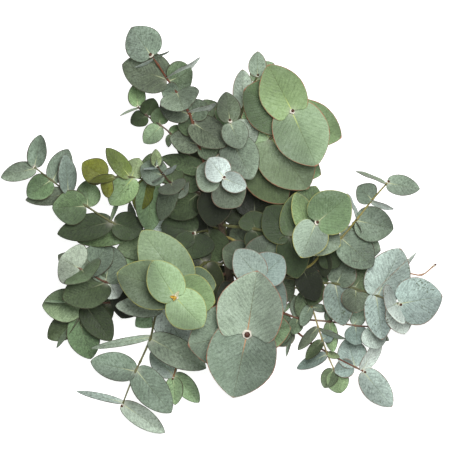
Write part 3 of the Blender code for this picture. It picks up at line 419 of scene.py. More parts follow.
# From the crown downwards: name, station, radius, heart, color, route and then the leaves.
# A twig earlier in the list keeps its leaves where they are, and later ones bend clear of it.
TWIGS = [
    twig_of("crown_tip", 1.0, 1.5, 0.6, "whitish", [(-2, 41, 112), (0, 47, 130), (3, 51, 146)],
        (2, -12, 70, 28, 14), (2, 25, 41, 24, 12, 25), (1, -23, 62, 36), (1, 19, 23, 38, -4),
        (0, 8, 79, 32, -4), (0, -10, 2, 36, -14)),
    twig_of("northeast_leader", 0.92, 1.9, 0.9, "light_green",
        [(20, 48, 93), (30, 69, 98), (42, 83, 105), (50, 91, 110), (69, 114, 121), (71, 117, 131)],
        (5, 47, 163, 47, 6), (5, 95, 63, 57, 4), (4, 120, 91, 47), (4, 23, 139, 60),
        (3, 87, 40, 59, -4), (3, 24, 120, 42, -10), (2, 105, 53, 48, -18), (1, 66, 26, 44, -10)),
    twig_of("south_big", 0.42, 2.1, 1.0, "grey_green",
        [(14, -74, 40), (22, -92, 70), (25, -103, 92), (26, -105, 106)],
        (3, 36, -42, 68, 4), (3, 12, -168, 71, 2), (2, -33, -116, 66, -4), (2, 70, -99, 44, -6),
        (1, 2, -52, 40, -12)),
    twig_of("southwest_bright", 0.58, 1.8, 0.7, "young_green",
        [(-16, -34, 62), (-38, -56, 88), (-45, -63, 102), (-46, -68, 116)],
        (3, -68, -32, 38, 12), (3, -18, -97, 42, 4), (2, -6, -73, 44), (2, -104, -44, 50, -3),
        (1, -79, -2, 50, 4), (1, -5, -56, 36, -2), (0, -50, -2, 34, -8), (0, -14, -84, 36, -16)),
    twig_of("north_pair", 0.97, 1.5, 0.6, "grey_green", [(4, 66, 106), (10, 90, 116), (9, 107, 134)],
        (2, 5, 136, 25, 10), (2, 20, 80, 28, 6), (1, 31, 50, 40, -6), (1, 37, 104, 32, -10),
        (0, -18, 88, 30, -12)),
    twig_of("east_centre", 0.8, 1.8, 0.7, "light_green",
        [(34, 0, 84), (72, -8, 98), (86, 0, 108), (95, 6, 121)],
        (3, 127, 33, 47, 8), (3, 80, -28, 37, 12), (2, 75, 36, 30, 12, 40), (2, 119, -17, 40, -5),
        (1, 95, 43, 44, -6), (1, 45, 22, 40, -8), (1, 76, -50, 34, -18), (0, 30, 18, 30, -8),
        (0, 50, -26, 34, -12)),
    twig_of("south_pale_pair", 0.68, 1.5, 0.6, "pale_blue",
        [(24, -30, 64), (34, -42, 84), (39, -50, 99)],
        (2, 15, -21, 34, 8), (2, 62, -28, 38, 6), (1, 52, -6, 40, -4), (1, 64, -82, 32, -10),
        (0, 2, -20, 32, 2)),
    twig_of("northwest_leader", 0.95, 1.9, 0.6, "grey_green",
        [(-14, 58, 102), (-22, 84, 111), (-28, 106, 117), (-32, 116, 120), (-44, 136, 124),
             (-54, 150, 127), (-63, 164, 132), (-69, 172, 138)],
        (7, -90, 202, 41, 6), (4, -37, 119, 42, 58), (7, -51, 176, 16, 0, 80),
        (7, -85, 160, 16, 0, -80), (5, -20, 169, 32, 4, 78), (5, -98, 164, 42, 4),
        (5, -28, 157, 38, -14), (4, -63, 138, 28, -14), (3, -4, 124, 28, 6, 76),
        (3, -61, 124, 28, -12, 12), (3, -14, 126, 24, -18), (2, 6, 83, 36, 6), (2, -43, 102, 22, -16),
        (1, -51, 92, 26, -8), (1, 2, 74, 24, -14), (0, -60, 72, 20, -18)),
    twig_of("northwest_centre", 0.88, 1.5, 0.6, "grey_green",
        [(-22, 36, 88), (-38, 40, 98), (-50, 46, 105), (-58, 55, 110), (-64, 63, 115)],
        (4, -65, 79, 12, 30), (4, -60, 73, 10, 16, 40), (4, -78, 60, 13, 4, 78),
        (3, -44, 63, 22, 6, 76), (3, -69, 47, 20, 0, 76), (3, -81, 62, 28, -8), (2, -46, 36, 30, 66),
        (2, -50, 79, 36, -12), (2, -62, 8, 22, -24, 20), (1, -33, 32, 30, 66), (1, -19, 62, 28, -16),
        (0, -53, 12, 34, -18), (0, -8, 16, 30, -20)),
    twig_of("olive_west", 0.77, 1.3, 0.5, "olive",
        [(-40, 40, 82), (-73, 49, 86), (-91, 52, 88), (-106, 52, 90), (-116, 51, 91)],
        (4, -138, 66, 28, 12), (4, -113, 31, 15, 4, 20), (3, -133, 47, 10, 20, 30),
        (2, -114, 81, 20, 10, 20), (2, -82, 71, 22, -8), (2, -111, 24, 30, -12), (1, -84, 17, 22, -12),
        (1, -72, -4, 30, -14), (1, -70, 76, 24, -18), (0, -46, 8, 34, -18)),
    twig_of("north_pale", 0.82, 1.3, 0.3, "pale_blue",
        [(12, 64, 76), (20, 106, 88), (22, 121, 91), (33, 146, 94), (36, 152, 95)],
        (4, 37, 177, 19, 10, 10), (3, 53, 166, 26), (2, 22, 159, 23, 8, 15), (2, 40, 112, 24, -10),
        (1, -6, 120, 26, -10)),
    twig_of("northwest_small", 0.85, 1.1, 0.2, "dark_green",
        [(-28, 68, 80), (-51, 96, 96), (-61, 104, 98), (-75, 114, 99), (-83, 122, 98)],
        (4, -85, 145, 19, 10, 15), (4, -101, 114, 13, 4, 78), (3, -67, 130, 21, 14, 25),
        (3, -90, 106, 22, 8, 20), (2, -61, 122, 19, 4), (2, -77, 86, 20, -4), (1, -42, 103, 12, 6, 40),
        (1, -53, 82, 12, 4, 50)),
    twig_of("east_long", 0.72, 1.5, 0.5, "grey_green",
        [(40, -26, 66), (83, -39, 72), (104, -21, 78), (120, -9, 82), (136, 10, 88), (151, 29, 93),
             (166, 46, 97)],
        (6, 198, 40, 23, 8, 0, 24), (6, 135, 59, 17, 4, 78), (5, 137, 43, 26, 4, 25),
        (5, 172, 19, 15, 4, 66), (4, 127, 36, 26, 8, 80), (4, 172, 0, 37, 2), (4, 139, -6, 14, -14, 60),
        (3, 152, -37, 38, 4), (3, 160, -21, 38, -10), (2, 118, -38, 28, -12),
        (2, 103, -48, 20, -20, 30), (1, 72, -10, 30, -18), (1, 96, -72, 28, -14), (0, 6, 2, 36, -14)),
    twig_of("far_east_pale", 0.55, 1.7, 0.7, "pale_blue",
        [(50, -46, 44), (100, -54, 56), (116, -55, 60), (135, -60, 62), (157, -67, 64), (178, -75, 68)],
        (5, 222, -67, 50, 6), (5, 166, -79, 44, 66), (5, 184, -106, 28, -20), (4, 180, -20, 46, 6),
        (4, 162, -112, 30, 2), (4, 197, -26, 14, -8, 60), (3, 135, -84, 31, -2), (3, 151, -33, 24, -6),
        (2, 128, -30, 32, 8), (2, 123, -97, 32, 4), (1, 92, -22, 30, -12), (1, 88, -77, 22, -8, 10),
        (0, 60, -20, 36, -14), (0, 70, -72, 34, -14)),
    twig_of("far_east_thin", 0.6, 1.2, 0.1, "bark",
        [(46, -36, 53), (90, -42, 54), (186, -44, 56), (201, -46, 60), (213, -37, 64)]),
    twig_of("west_long", 0.62, 1.6, 0.4, "blue_green",
        [(-44, -10, 50), (-90, -3, 60), (-111, 8, 63), (-135, 23, 66), (-153, 36, 67), (-170, 49, 67),
             (-187, 62, 67)],
        (6, -180, 94, 22, 6, 25), (6, -221, 52, 21, 0, 20), (5, -194, 33, 28, 4, 15),
        (5, -153, 80, 25, -6), (4, -155, 75, 22, 10, 35), (4, -196, 29, 19, -8), (3, -169, 21, 36, 2),
        (3, -134, 49, 26, -6), (2, -98, 45, 11, 8, 66), (2, -164, -5, 28, -2), (2, -78, -3, 30, 8),
        (1, -90, 28, 15, 6, 50), (1, -145, -13, 20, -17), (0, -60, 22, 38, -14),
        (0, -106, -22, 34, -8)),
    twig_of("west_southwest", 0.5, 1.7, 0.7, "grey_green",
        [(-52, -44, 38), (-90, -58, 46), (-116, -53, 52), (-134, -43, 55), (-141, -40, 57)],
        (4, -161, -29, 45, 16), (4, -133, -50, 44, 64), (3, -110, -12, 32, -12),
        (3, -164, -26, 24, -16), (2, -108, -16, 40, 4), (2, -159, -70, 40), (2, -103, -69, 26, 10),
        (1, -88, -14, 34, -12), (1, -100, -90, 38, -14)),
    twig_of("southwest_long", 0.45, 1.7, 0.5, "grey_green",
        [(-26, -62, 32), (-61, -79, 42), (-71, -110, 40), (-81, -133, 36), (-86, -143, 33),
             (-99, -176, 28)],
        (5, -55, -206, 22, -8), (5, -145, -162, 9, 0, 30), (4, -131, -133, 31, 0, 0, 20),
        (4, -50, -185, 34, -6), (2, -15, -140, 33, -4, 0, 22), (2, -131, -119, 9, 0, 20),
        (1, -31, -124, 36, -14), (1, -108, -77, 24, 10), (0, -2, -96, 32, -10)),
    twig_of("southeast_brown", 0.37, 1.4, 0.4, "blue_green",
        [(36, -80, 24), (61, -84, 32), (79, -90, 34), (109, -93, 35), (135, -97, 37), (150, -98, 38)],
        (5, 159, -120, 28, -6), (5, 168, -113, 16, -8, 50), (4, 137, -117, 24, -4),
        (4, 143, -80, 16, -8), (3, 112, -124, 16, -6, 20), (3, 111, -77, 12, 0, 20),
        (2, 73, -66, 15, -4), (2, 72, -106, 16, -8), (1, 76, -69, 8, 0, 60), (1, 60, -118, 26, -12)),
    twig_of("southeast_thin", 0.5, 1.0, 0.1, "blue_green",
        [(60, -58, 30), (84, -62, 45), (91, -78, 46), (98, -100, 40), (102, -112, 33), (107, -126, 18),
             (114, -142, 10)],
        (6, 121, -167, 24, 0, 0, 12, RESTS), (6, 104, -160, 18, -10), (5, 76, -140, 14, -6, 20),
        (5, 119, -129, 9, 10, 30), (4, 85, -131, 13, 0, 20), (4, 114, -104, 14, 4),
        (3, 126, -112, 14, 0, 70), (3, 77, -121, 12, 0, 20), (2, 109, -81, 9), (2, 80, -98, 14, -8, 20),
        (1, 77, -88, 14, -14), (0, 10, -42, 25, -18)),
    twig_of("southeast_low", 0.32, 1.5, 0.4, "pale_blue",
        [(42, -88, 14), (72, -101, 16), (92, -116, 17), (109, -125, 14), (119, -131, 15),
             (135, -139, 14), (143, -143, 12)],
        (6, 173, -180, 28, 0, 0, 8, RESTS), (6, 162, -110, 22, 10, 50), (5, 127, -110, 31, 6),
        (5, 114, -143, 20, -8), (1, 65, -128, 6, 0, 40), (1, 55, -117, 22, -4)),
    twig_of("west_low_green", 0.39, 1.4, 0.4, "dark_green",
        [(-50, -70, 18), (-112, -74, 24), (-139, -76, 23), (-144, -90, 16)],
        (3, -177, -112, 26, 0, 0, 8, RESTS), (3, -131, -131, 34, -6), (3, -167, -119, 12, -14, 50),
        (2, -180, -77, 35, -4), (2, -110, -112, 30, 2), (2, -177, -71, 14, 6, 76),
        (1, -142, -112, 26, -8), (1, -114, -36, 34, -6), (0, -86, -98, 28, -4), (0, 8, -40, 40, -6)),
    twig_of("south_small", 0.27, 1.2, 0.3, "blue_green",
        [(-8, -104, 11), (-40, -128, 14), (-48, -149, 12)],
        (2, -46, -177, 19, -4), (2, -71, -124, 23, -2), (2, -21, -176, 20, 0, 0, 8, RESTS)),
    twig_of("inner_west", 0.72, 1.4, 0.6, "dark_green", [(-14, -2, 58), (-26, -4, 66)],
        (1, -30, -30, 42, -2), (1, -60, 4, 42, -4), (0, 0, -36, 40, -10), (0, -18, 30, 40, -8)),
    twig_of("inner_east", 0.64, 1.4, 0.6, "dark_green", [(24, 8, 50), (34, 14, 58)],
        (1, 32, 54, 44, -4), (1, 72, -6, 44, -8), (0, 10, 40, 40, -10), (0, 10, -44, 40, -34),
        (1, 90, 48, 25, -8)),
    twig_of("under_north", 0.66, 1.5, 0.5, "dark_green", [(2, 44, 34), (0, 72, 22), (-4, 102, 12)],
        (2, -18, 132, 28, 0, 0, 8, RESTS), (2, 28, 128, 30, 0, 0, 8, RESTS), (1, -46, 88, 40, -4),
        (0, -42, 34, 42, -4), (0, 50, 34, 46, -4)),
]


def add_object(name, data):
    thing = bpy.data.objects.new(name, data)
    bpy.context.scene.collection.objects.link(thing)
    return thing


def smooth_path(points, longest):
    """Points on a smooth curve through the given ones, in sections no longer than the longest."""
    path = [points[0]]
    last = len(points) - 1
    for index in range(last):
        here = points[index]
        there = points[index + 1]
        reach = (there - here).length / 3
        steps = math.ceil((there - here).length / longest)
        leave = (there - points[max(index - 1, 0)]).normalized()
        arrive = (points[min(index + 2, last)] - here).normalized()
        handles = (here + leave * reach, there - arrive * reach)
        path += interpolate_bezier(here, *handles, there, steps + 1)[1:]
    return path


def tube_tree(path, radii, resolution):
    """A search tree of the closed tube of changing radius along a path."""
    curve = bpy.data.curves.new("guide", "CURVE")
    curve.dimensions = "3D"
    curve.bevel_depth = 1.0
    curve.bevel_resolution = resolution
    curve.use_fill_caps = True
    spline = curve.splines.new("POLY")
    spline.points.add(len(path) - 1)
    for point, place, radius in zip(spline.points, path, radii):
        point.co = (*place, 1.0)
        point.radius = radius
    guide = add_object("guide", curve)
    bpy.context.view_layer.update()
    depsgraph = bpy.context.evaluated_depsgraph_get()
    mesh = bpy.data.meshes.new_from_object(guide.evaluated_get(depsgraph))
    solid = bmesh.new()
    solid.from_mesh(mesh)
    tree = BVHTree.FromBMesh(solid)
    solid.free()
    bpy.data.meshes.remove(mesh)
    bpy.data.objects.remove(guide, do_unlink=True)
    bpy.data.curves.remove(curve)
    return tree


def between(first, last, share):
    return first + (last - first) * share


def main_path(section=MAIN_SECTION):
    return smooth_path([Vector(point) * MM for point in MAIN_ROUTE], section * MM)


def main_radius(share):
    """Radius of the main stem at a share of its length, from the cut end to the top."""
    return between(MAIN_RADIUS_AT_CUT, MAIN_RADIUS_AT_TOP, share) * MM


def stem_radius(twig, share):
    """Radius of a twig at a share of its length, in metres."""
    return between(twig.radius, TIP_RADIUS, share) * MM


def path_shares(path):
    """How far along its whole length each point of a path lies, from 0 to 1."""
    lengths = [0.0]
    for before, after in zip(path, path[1:]):
        lengths.append(lengths[-1] + (after - before).length)
    return [length / lengths[-1] for length in lengths]


def along_path(path, share):
    """The place and the direction at a share of a path's length."""
    shares = path_shares(path)
    for index in range(1, len(path)):
        if shares[index] >= share or index == len(path) - 1:
            part = (share - shares[index - 1]) / (shares[index] - shares[index - 1])
            direction = (path[index] - path[index - 1]).normalized()
            return path[index - 1].lerp(path[index], part), direction


def twig_route(twig):
    """The twig's foot on the main stem, its first way out, and then its nodes."""
    place, direction = along_path(main_path(), twig.station)
    nodes = [Vector(point) * MM for point in twig.route]
    if twig.station >= 1.0:
        outward = direction
        foot = place + outward * SEAT_GAP * MM
    else:
        outward = nodes[0] - place
        outward -= direction * outward.dot(direction)
        outward.normalize()
        foot = place + outward * (main_radius(twig.station) + SEAT_GAP * MM)
    return [foot, foot + outward * FOOT_LENGTH * MM] + nodes


def way_out(route):
    """The direction in which a twig ends."""
    return (route[-1] - route[-2]).normalized()


def twig_path(twig, section=STEM_SECTION):
    route = twig_route(twig)
    return smooth_path(route, section * MM) + [route[-1] + way_out(route) * TIP_BUD * MM]


def stem_trees():
    """Every stem as an obstacle: its owner, no node, and its search tree."""
    path = main_path()
    radii = [main_radius(share) for share in path_shares(path)]
    trees = [("main_stem", None, tube_tree(path, radii, MAIN_SIDES_RESOLUTION))]
    for twig in TWIGS:
        path = twig_path(twig)
        radii = [stem_radius(twig, share) for share in path_shares(path)]
        trees.append((twig.name, None, tube_tree(path, radii, STEM_SIDES_RESOLUTION)))
    return trees


Blade = namedtuple("Blade", "root axis side normal length width heart fold")


def place_blade(twig, leaf, rank, bend, turn, shrink):
    """Where a leaf grows and how it lies; rank counts the leaves before it at its node."""
    route = twig_route(twig)
    node = route[leaf.node + 2]
    downwards = (route[leaf.node + 1] - node).normalized()
    root = node + downwards * (rank * PAIR_STEP * MM)
    reach = Vector((leaf.x * MM - root.x, leaf.y * MM - root.y, 0.0))
    length = reach.length / math.cos(math.radians(leaf.rise)) * shrink
    rise = math.radians(leaf.rise + bend)
    heading = reach.normalized()
    up = Vector((0.0, 0.0, 1.0))
    axis = heading * math.cos(rise) + up * math.sin(rise)
    flat_normal = up * math.cos(rise) - heading * math.sin(rise)
    flat_side = axis.cross(flat_normal)
    roll = math.radians(leaf.turn + turn)
    normal = flat_normal * math.cos(roll) + flat_side * math.sin(roll)
    side = flat_side * math.cos(roll) - flat_normal * math.sin(roll)
    root = root + axis * LEAF_ROOT_OFFSET * MM
    fold = math.radians(leaf.fold)
    return Blade(root, axis, side, normal, length, leaf.width * MM * shrink, twig.heart, fold)


def by_heart(blade, plain, heart_shaped):
    """A value between a plain leaf's and a fully heart-shaped one's."""
    return between(plain, heart_shaped, blade.heart ** 2)


def half_width(blade, along):
    """Half of the blade's width, as a share of its widest, at a share of its length."""
    root_width = by_heart(blade, *ROOT_WIDTH)
    if along < WIDEST_AT:
        back = (WIDEST_AT - along) / WIDEST_AT
        return root_width + (1 - root_width) * math.sqrt(1 - back ** 2)
    forward = (along - WIDEST_AT) / (1 - WIDEST_AT)
    return max(0.0, 1 - forward ** by_heart(blade, *FRONT_ROUND)) ** by_heart(blade, *FRONT_BLUNT)


def lobe_reach(blade, along):
    """How far back the lobes would reach at the rim, as a share of the length."""
    return LOBE_REACH * blade.heart ** 2 * (1 - along) ** 3


def blade_point(blade, across, along):
    """A point of the blade: across runs from -1 to 1 between the rims, along from 0 to 1."""
    sideways = across * half_width(blade, along) * blade.width / 2 * OUTLINE_SWELL
    forward = (along - lobe_reach(blade, along) * across ** 2) * blade.length
    lift = abs(sideways) * math.sin(blade.fold) - DROOP * along ** 2 * blade.length
    return (blade.root + blade.axis * forward + blade.side * sideways * math.cos(blade.fold)
            + blade.normal * lift)


def blade_solid(blade, thickness):
    """The closed blade, as a bmesh: a shaped sheet raised to its thickness."""
    sheet = bmesh.new()
    rows = next(count for width, count in ROWS_BY_WIDTH if blade.width >= width * MM)
    bmesh.ops.create_grid(sheet, x_segments=LEAF_COLUMNS, y_segments=rows, size=1)
    for vertex in sheet.verts:
        along = ((vertex.co.y + 1) / 2) ** ROW_SPREAD
        place = blade_point(blade, vertex.co.x, min(along, 1.0))
        vertex.co = place - blade.normal * thickness / 2
    bmesh.ops.remove_doubles(sheet, verts=sheet.verts, dist=0.01 * MM)
    bmesh.ops.triangulate(sheet, faces=sheet.faces)
    raised = bmesh.ops.extrude_face_region(sheet, geom=sheet.faces[:], use_keep_orig=True)
    moved = [item for item in raised["geom"] if isinstance(item, bmesh.types.BMVert)]
    bmesh.ops.translate(sheet, verts=moved, vec=blade.normal * thickness)
    bmesh.ops.recalc_face_normals(sheet, faces=sheet.faces)
    return sheet


def lowest(solid):
    return min(vertex.co.z for vertex in solid.verts)


def settled(twig, leaf, rank, shrink):
    """The bend at which a resting leaf's lowest point just meets the surface."""
    low = -STEEPEST
    high = STEEPEST
    for _ in range(HALVINGS):
        middle = (low + high) / 2
        solid = blade_solid(place_blade(twig, leaf, rank, middle, 0, shrink), LEAF_THICKNESS * MM)
        if lowest(solid) < FLOOR_GAP * MM:
            low = middle
        else:
            high = middle
        solid.free()
    return high


def changes():
    """Every small change of a leaf, the least first."""
    options = []
    for bend, turn, shrink in product(BENDS, TURNS, SHRINKS):
        cost = abs(bend) / BEND_COST + abs(turn) / TURN_COST + (1 - shrink) * SHRINK_COST
        options.append((cost, bend, turn, shrink))
    return [option[1:] for option in sorted(options)]


def is_clear(solid, twig, leaf, others):
    """Whether a leaf crosses nothing but its own twig's stem and the leaves at its own node."""
    tree = BVHTree.FromBMesh(solid)
    for owner, node, other in others:
        own = owner == twig.name and node in (None, leaf.node)
        if not own and tree.overlap(other):
            return False
    return True


def fit_leaf(twig, leaf, rank, others):
    """The blade with the least change that clears the other twigs, or None."""
    for bend, turn, shrink in changes():
        if leaf.rests:
            bend = settled(twig, leaf, rank, shrink)
        blade = place_blade(twig, leaf, rank, bend, turn, shrink)
        thick = blade_solid(blade, (LEAF_THICKNESS + 2 * CLEARANCE) * MM)
        low_enough = lowest(thick) > (FLOOR_GAP - CLEARANCE - ROUNDING) * MM
        clear = low_enough and is_clear(thick, twig, leaf, others)
        thick.free()
        if clear:
            return blade
    return None


def grow_leaves():
    """Fit every leaf of every twig, in the list's order: by twig, each leaf's number and blade."""
    others = stem_trees()
    blades = {twig.name: [] for twig in TWIGS}
    for twig in TWIGS:
        ranks = {}
        for number, leaf in enumerate(twig.leaves):
            rank = ranks.get(leaf.node, 0)
            ranks[leaf.node] = rank + 1
            blade = fit_leaf(twig, leaf, rank, others)
            if blade is None:
                continue
            solid = blade_solid(blade, LEAF_THICKNESS * MM)
            others.append((twig.name, leaf.node, BVHTree.FromBMesh(solid)))
            solid.free()
            blades[twig.name].append((number, blade))
    return blades


def linear(color):
    """An sRGB colour of 0 to 255 as linear RGB."""
    channels = []
    for value in color:
        share = value / 255
        channels.append(share / 12.92 if share <= 0.04045 else ((share + 0.055) / 1.055) ** 2.4)
    return tuple(channels)


def mixed(first, second, share):
    return tuple(between(a, b, share) for a, b in zip(first, second))


def scaled(color, share):
    return tuple(channel * share for channel in color)


Shape = namedtuple("Shape", "wave waves phase other_phase sag other_sag skew veins start tint underside")


def leaf_shape(blade, tint, curl, chance):
    """The chance part of a leaf: its waves, how lopsided it is, and its own tint."""
    bright = 1 + chance.uniform(-TINT_CHANGE, TINT_CHANGE)
    warm = 1 + chance.uniform(-TINT_CHANGE, TINT_CHANGE) / 2
    red, green, blue = linear(tint)
    color = (red * bright * warm, green * bright, blue * bright / warm)
    under = mixed(color, linear(UNDERSIDE), UNDERSIDE_SHARE)
    wave = WAVE * curl * chance.uniform(*WAVE_HEIGHTS)
    waves = chance.uniform(*WAVE_NUMBERS)
    phases = [chance.uniform(0, math.tau) for _ in range(2)]
    sags = [SAG * curl * chance.uniform(*SAG_RANGE) for _ in range(2)]
    skew = chance.uniform(-SKEW, SKEW)
    veins = VEIN_COUNT + VEIN_GROWTH * blade.width / MM
    return Shape(wave, waves, *phases, *sags, skew, veins, chance.randrange(VEIN_STARTS), color, under)


def painted_leaf_shade(shape, across, along):
    """How light a spot of a leaf is tinted, as painted shade: often one half or one end is a little
    lighter than the other, as if it faced the light.
    """
    half = math.sin(shape.phase) * (math.tanh(PAINTED_SHADE_STEP * across) + across) / 2
    end = math.cos(shape.other_phase) * (2 * along - 1)
    return 1 + PAINTED_HALF_SHADE * half + PAINTED_END_SHADE * end


def side_places(blade, along):
    """Where the columns lie on one half at a share of the length, with their midrib and rim marks."""
    half = max(half_width(blade, along), SHARPEST) * blade.width / 2
    rib = (MIDRIB_WIDTH + MIDRIB_GROWTH * blade.width / MM) * (1 - MIDRIB_TAPER * along) * MM
    rib = min(rib, half * MIDRIB_LIMIT)
    on_rib, last = (rib * share for share in MIDRIB_COLUMNS)
    places = [(0.0, 1.0, 0.0), (on_rib, 1.0, 0.0), (last, 0.0, 0.0)]
    inner_rim = max(half - RIM_BAND * MM, half * RIM_LIMIT)
    for share in FINE_COLUMNS:
        places.append((last + (inner_rim - last) * share / FINE_COLUMNS[-1] * RIM_FREE, 0.0, 0.0))
    places.append((inner_rim, 0.0, 0.0))
    places.append((half, 0.0, 1.0))
    return half, places


def fine_row(blade, shape, along):
    """One row of a leaf from rim to rim: its points, and what its colours need to know."""
    half, places = side_places(blade, along)
    left = [(-place, rib, rim) for place, rib, rim in reversed(places[1:])]
    row = []
    end_mark = max(0.0, 1 - (1 - along) * blade.length / (RIM_BAND * MM))
    slant = by_heart(blade, *VEIN_SLANT)
    fan = by_heart(blade, *VEIN_FAN)
    for place, rib, rim in left + places:
        across = place / half
        side = 1.0 if place >= 0 else -1.0
        sideways = place * (1 + shape.skew * side * math.sin(math.pi * along))
        lobe = lobe_reach(blade, along) * (across ** 2 - LOBE_ROUNDING * across ** 8)
        forward = (along - lobe) * blade.length
        soft = SOFT_FOLD * blade.width
        rise = (math.hypot(sideways, soft) - soft) * math.sin(blade.fold)
        rise -= DROOP * along ** 2 * blade.length
        phase = shape.phase if side > 0 else shape.other_phase
        sag = shape.sag if side > 0 else shape.other_sag
        rise -= sag * blade.width * abs(across) ** SAG_SPREAD * math.sin(math.pi * along)
        rise += (shape.wave * blade.width * abs(across) ** WAVE_SPREAD * math.sin(math.pi * along)
                 * math.sin(math.tau * shape.waves * along + phase))
        middle = (blade.root + blade.axis * forward + blade.side * sideways * math.cos(blade.fold)
                  + blade.normal * rise)
        thickness = between(FINE_THICKNESS, RIM_THICKNESS, abs(across) ** 3) * MM
        top = middle + blade.normal * (thickness / 2 - MIDRIB_GROOVE * rib * (1 - along) * MM)
        low = middle - blade.normal * (thickness / 2 + MIDRIB_RIDGE * rib * (1 - along) * MM)
        out = abs(sideways) / blade.length
        vein = shape.start + shape.veins * (forward / blade.length - slant * out) / (1 + fan * out)
        from_foot = math.hypot(sideways, forward) / (FOOT_GLOW * blade.length)
        marks = (rib, max(rim, end_mark), math.exp(-from_foot ** 2))
        row.append((top, low, (vein, across), marks, painted_leaf_shade(shape, across, along)))
    return row


def inside_box(point):
    return all(low <= value <= high for value, low, high in zip(point, CAD_LOW, CAD_HIGH))


def drawn_in(points, root):
    """A leaf's points, drawn towards its foot until they lie inside the solid model's box."""
    while not all(inside_box(point) for point in points):
        points = [root.lerp(point, FIT_STEP) for point in points]
    return points


def add_leaf(blade, shape, sheet):
    """Add one closed leaf to a sheet of points, faces, colours and marks."""
    rows = FINE_ROWS if blade.width > SMALL_LEAF_WIDTH * MM else SMALL_LEAF_ROWS
    first = len(sheet.points)
    grid = []
    for index in range(rows + 1):
        along = (1 - math.cos(math.pi * index / rows)) / 2
        row = fine_row(blade, shape, along)
        numbers = []
        for top, low, vein, marks, light in row:
            numbers.append((len(sheet.points), len(sheet.points) + 1))
            sheet.points.extend((top, low))
            # the tints carry the painted shade of the leaf's halves and ends
            sheet.tints.extend((scaled(shape.tint, light), scaled(shape.underside, light)))
            sheet.veins.extend((vein, vein))
            sheet.marks.extend((marks, marks))
        grid.append(numbers)
    sheet.points[first:] = drawn_in(sheet.points[first:], blade.root)
    columns = len(grid[0])
    for before, after in zip(grid, grid[1:]):
        for column in range(columns - 1):
            top = [before[column][0], before[column + 1][0], after[column + 1][0], after[column][0]]
            low = [before[column][1], after[column][1], after[column + 1][1], before[column + 1][1]]
            sheet.faces.extend((top, low))
    border = [row[-1] for row in grid] + list(reversed(grid[-1]))[1:]
    border += [row[0] for row in reversed(grid[:-1])] + grid[0][1:-1]
    for first, second in zip(border, border[1:] + border[:1]):
        sheet.faces.append([first[0], first[1], second[1], second[0]])


Sheet = namedtuple("Sheet", "points faces tints veins marks")


def young_blades(twig):
    """The tiny young leaves that stand round a twig's bud, with their tints."""
    root = twig_route(twig)[-1]
    young = []
    for x, y, length, width, tint in TIP_LEAVES.get(twig.name, []):
        axis = Vector((x, y, TIP_LEAF_RISE)).normalized()
        side = axis.cross(Vector((0.0, 0.0, 1.0))).normalized()
        fold = math.radians(TIP_LEAF_FOLD)
        blade = Blade(root, axis, side, side.cross(axis), length * MM, width * MM, 0.0, fold)
        young.append((blade, tint))
    return young


def make_leaves(twig, blades, chance):
    """All the leaves of a twig as one finely shaped piece."""
    look = LOOKS[twig.name]
    sheet = Sheet([], [], [], [], [])
    curl = CURLY.get(twig.name, 1.0)
    for number, blade in blades:
        tint = look.tints[min(number, len(look.tints) - 1)]
        add_leaf(blade, leaf_shape(blade, tint, curl, chance), sheet)
    for blade, tint in young_blades(twig):
        add_leaf(blade, leaf_shape(blade, tint, curl, chance), sheet)
    piece = mesh_piece(twig.name + "_leaves", sheet.points, sheet.faces)
    tints = piece.data.color_attributes.new("tint", "FLOAT_COLOR", "POINT")
    marks = piece.data.color_attributes.new("marks", "FLOAT_COLOR", "POINT")
    veins = piece.data.uv_layers.new(name="veins")
    for index in range(len(sheet.points)):
        tints.data[index].color = (*sheet.tints[index], 1.0)
        marks.data[index].color = (*sheet.marks[index], 1.0)
    for loop in piece.data.loops:
        veins.data[loop.index].uv = sheet.veins[loop.vertex_index]
    return piece


def mesh_piece(name, points, faces):
    """A smooth mesh object, kept inside the solid model's box, with its faces turned outwards."""
    mesh = bpy.data.meshes.new(name)
    kept = []
    for point in points:
        kept.append([min(max(value, low), high) for value, low, high in zip(point, CAD_LOW, CAD_HIGH)])
    mesh.from_pydata(kept, [], faces)
    turned = bmesh.new()
    turned.from_mesh(mesh)
    bmesh.ops.recalc_face_normals(turned, faces=turned.faces)
    turned.to_mesh(mesh)
    turned.free()
    mesh.shade_smooth()
    return add_object(name, mesh)


def ringed_piece(name, path, radius_at, sides):
    """A round tube along a path; radius_at gives the radius at a point and in a direction."""
    points = []
    faces = []
    side = Vector((0.0, 0.0, 1.0))
    for index, place in enumerate(path):
        direction = (path[min(index + 1, len(path) - 1)] - path[max(index - 1, 0)]).normalized()
        side = (side - direction * side.dot(direction)).normalized()
        other = direction.cross(side)
        for step in range(sides):
            angle = math.tau * step / sides
            outward = side * math.cos(angle) + other * math.sin(angle)
            points.append(place + outward * radius_at(index, place, outward))
    for index in range(len(path) - 1):
        for step in range(sides):
            here = index * sides + step
            beside = index * sides + (step + 1) % sides
            faces.append([here, beside, beside + sides, here + sides])
    faces.append(list(range(sides)))
    faces.append(list(range(len(points) - sides, len(points))))
    return mesh_piece(name, points, faces)


def fine_twig_path(twig):
    """The twig's curve in short sections, from inside the main stem to its tip."""
    foot, beyond = twig_route(twig)[:2]
    return [foot + (foot - beyond).normalized() * STEM_INTO * MM] + twig_path(twig, STEM_STEP)


def make_stem_piece(twig):
    path = fine_twig_path(twig)
    shares = path_shares(path)
    nodes = twig_route(twig)[2:]

    def radius_at(index, place, outward):
        nearest = min((place - node).length for node in nodes) / (NODE_REACH * MM)
        return stem_radius(twig, shares[index]) + NODE_SWELLING * math.exp(-nearest ** 2) * MM

    return ringed_piece(twig.name + "_stem", path, radius_at, STEM_SIDES)


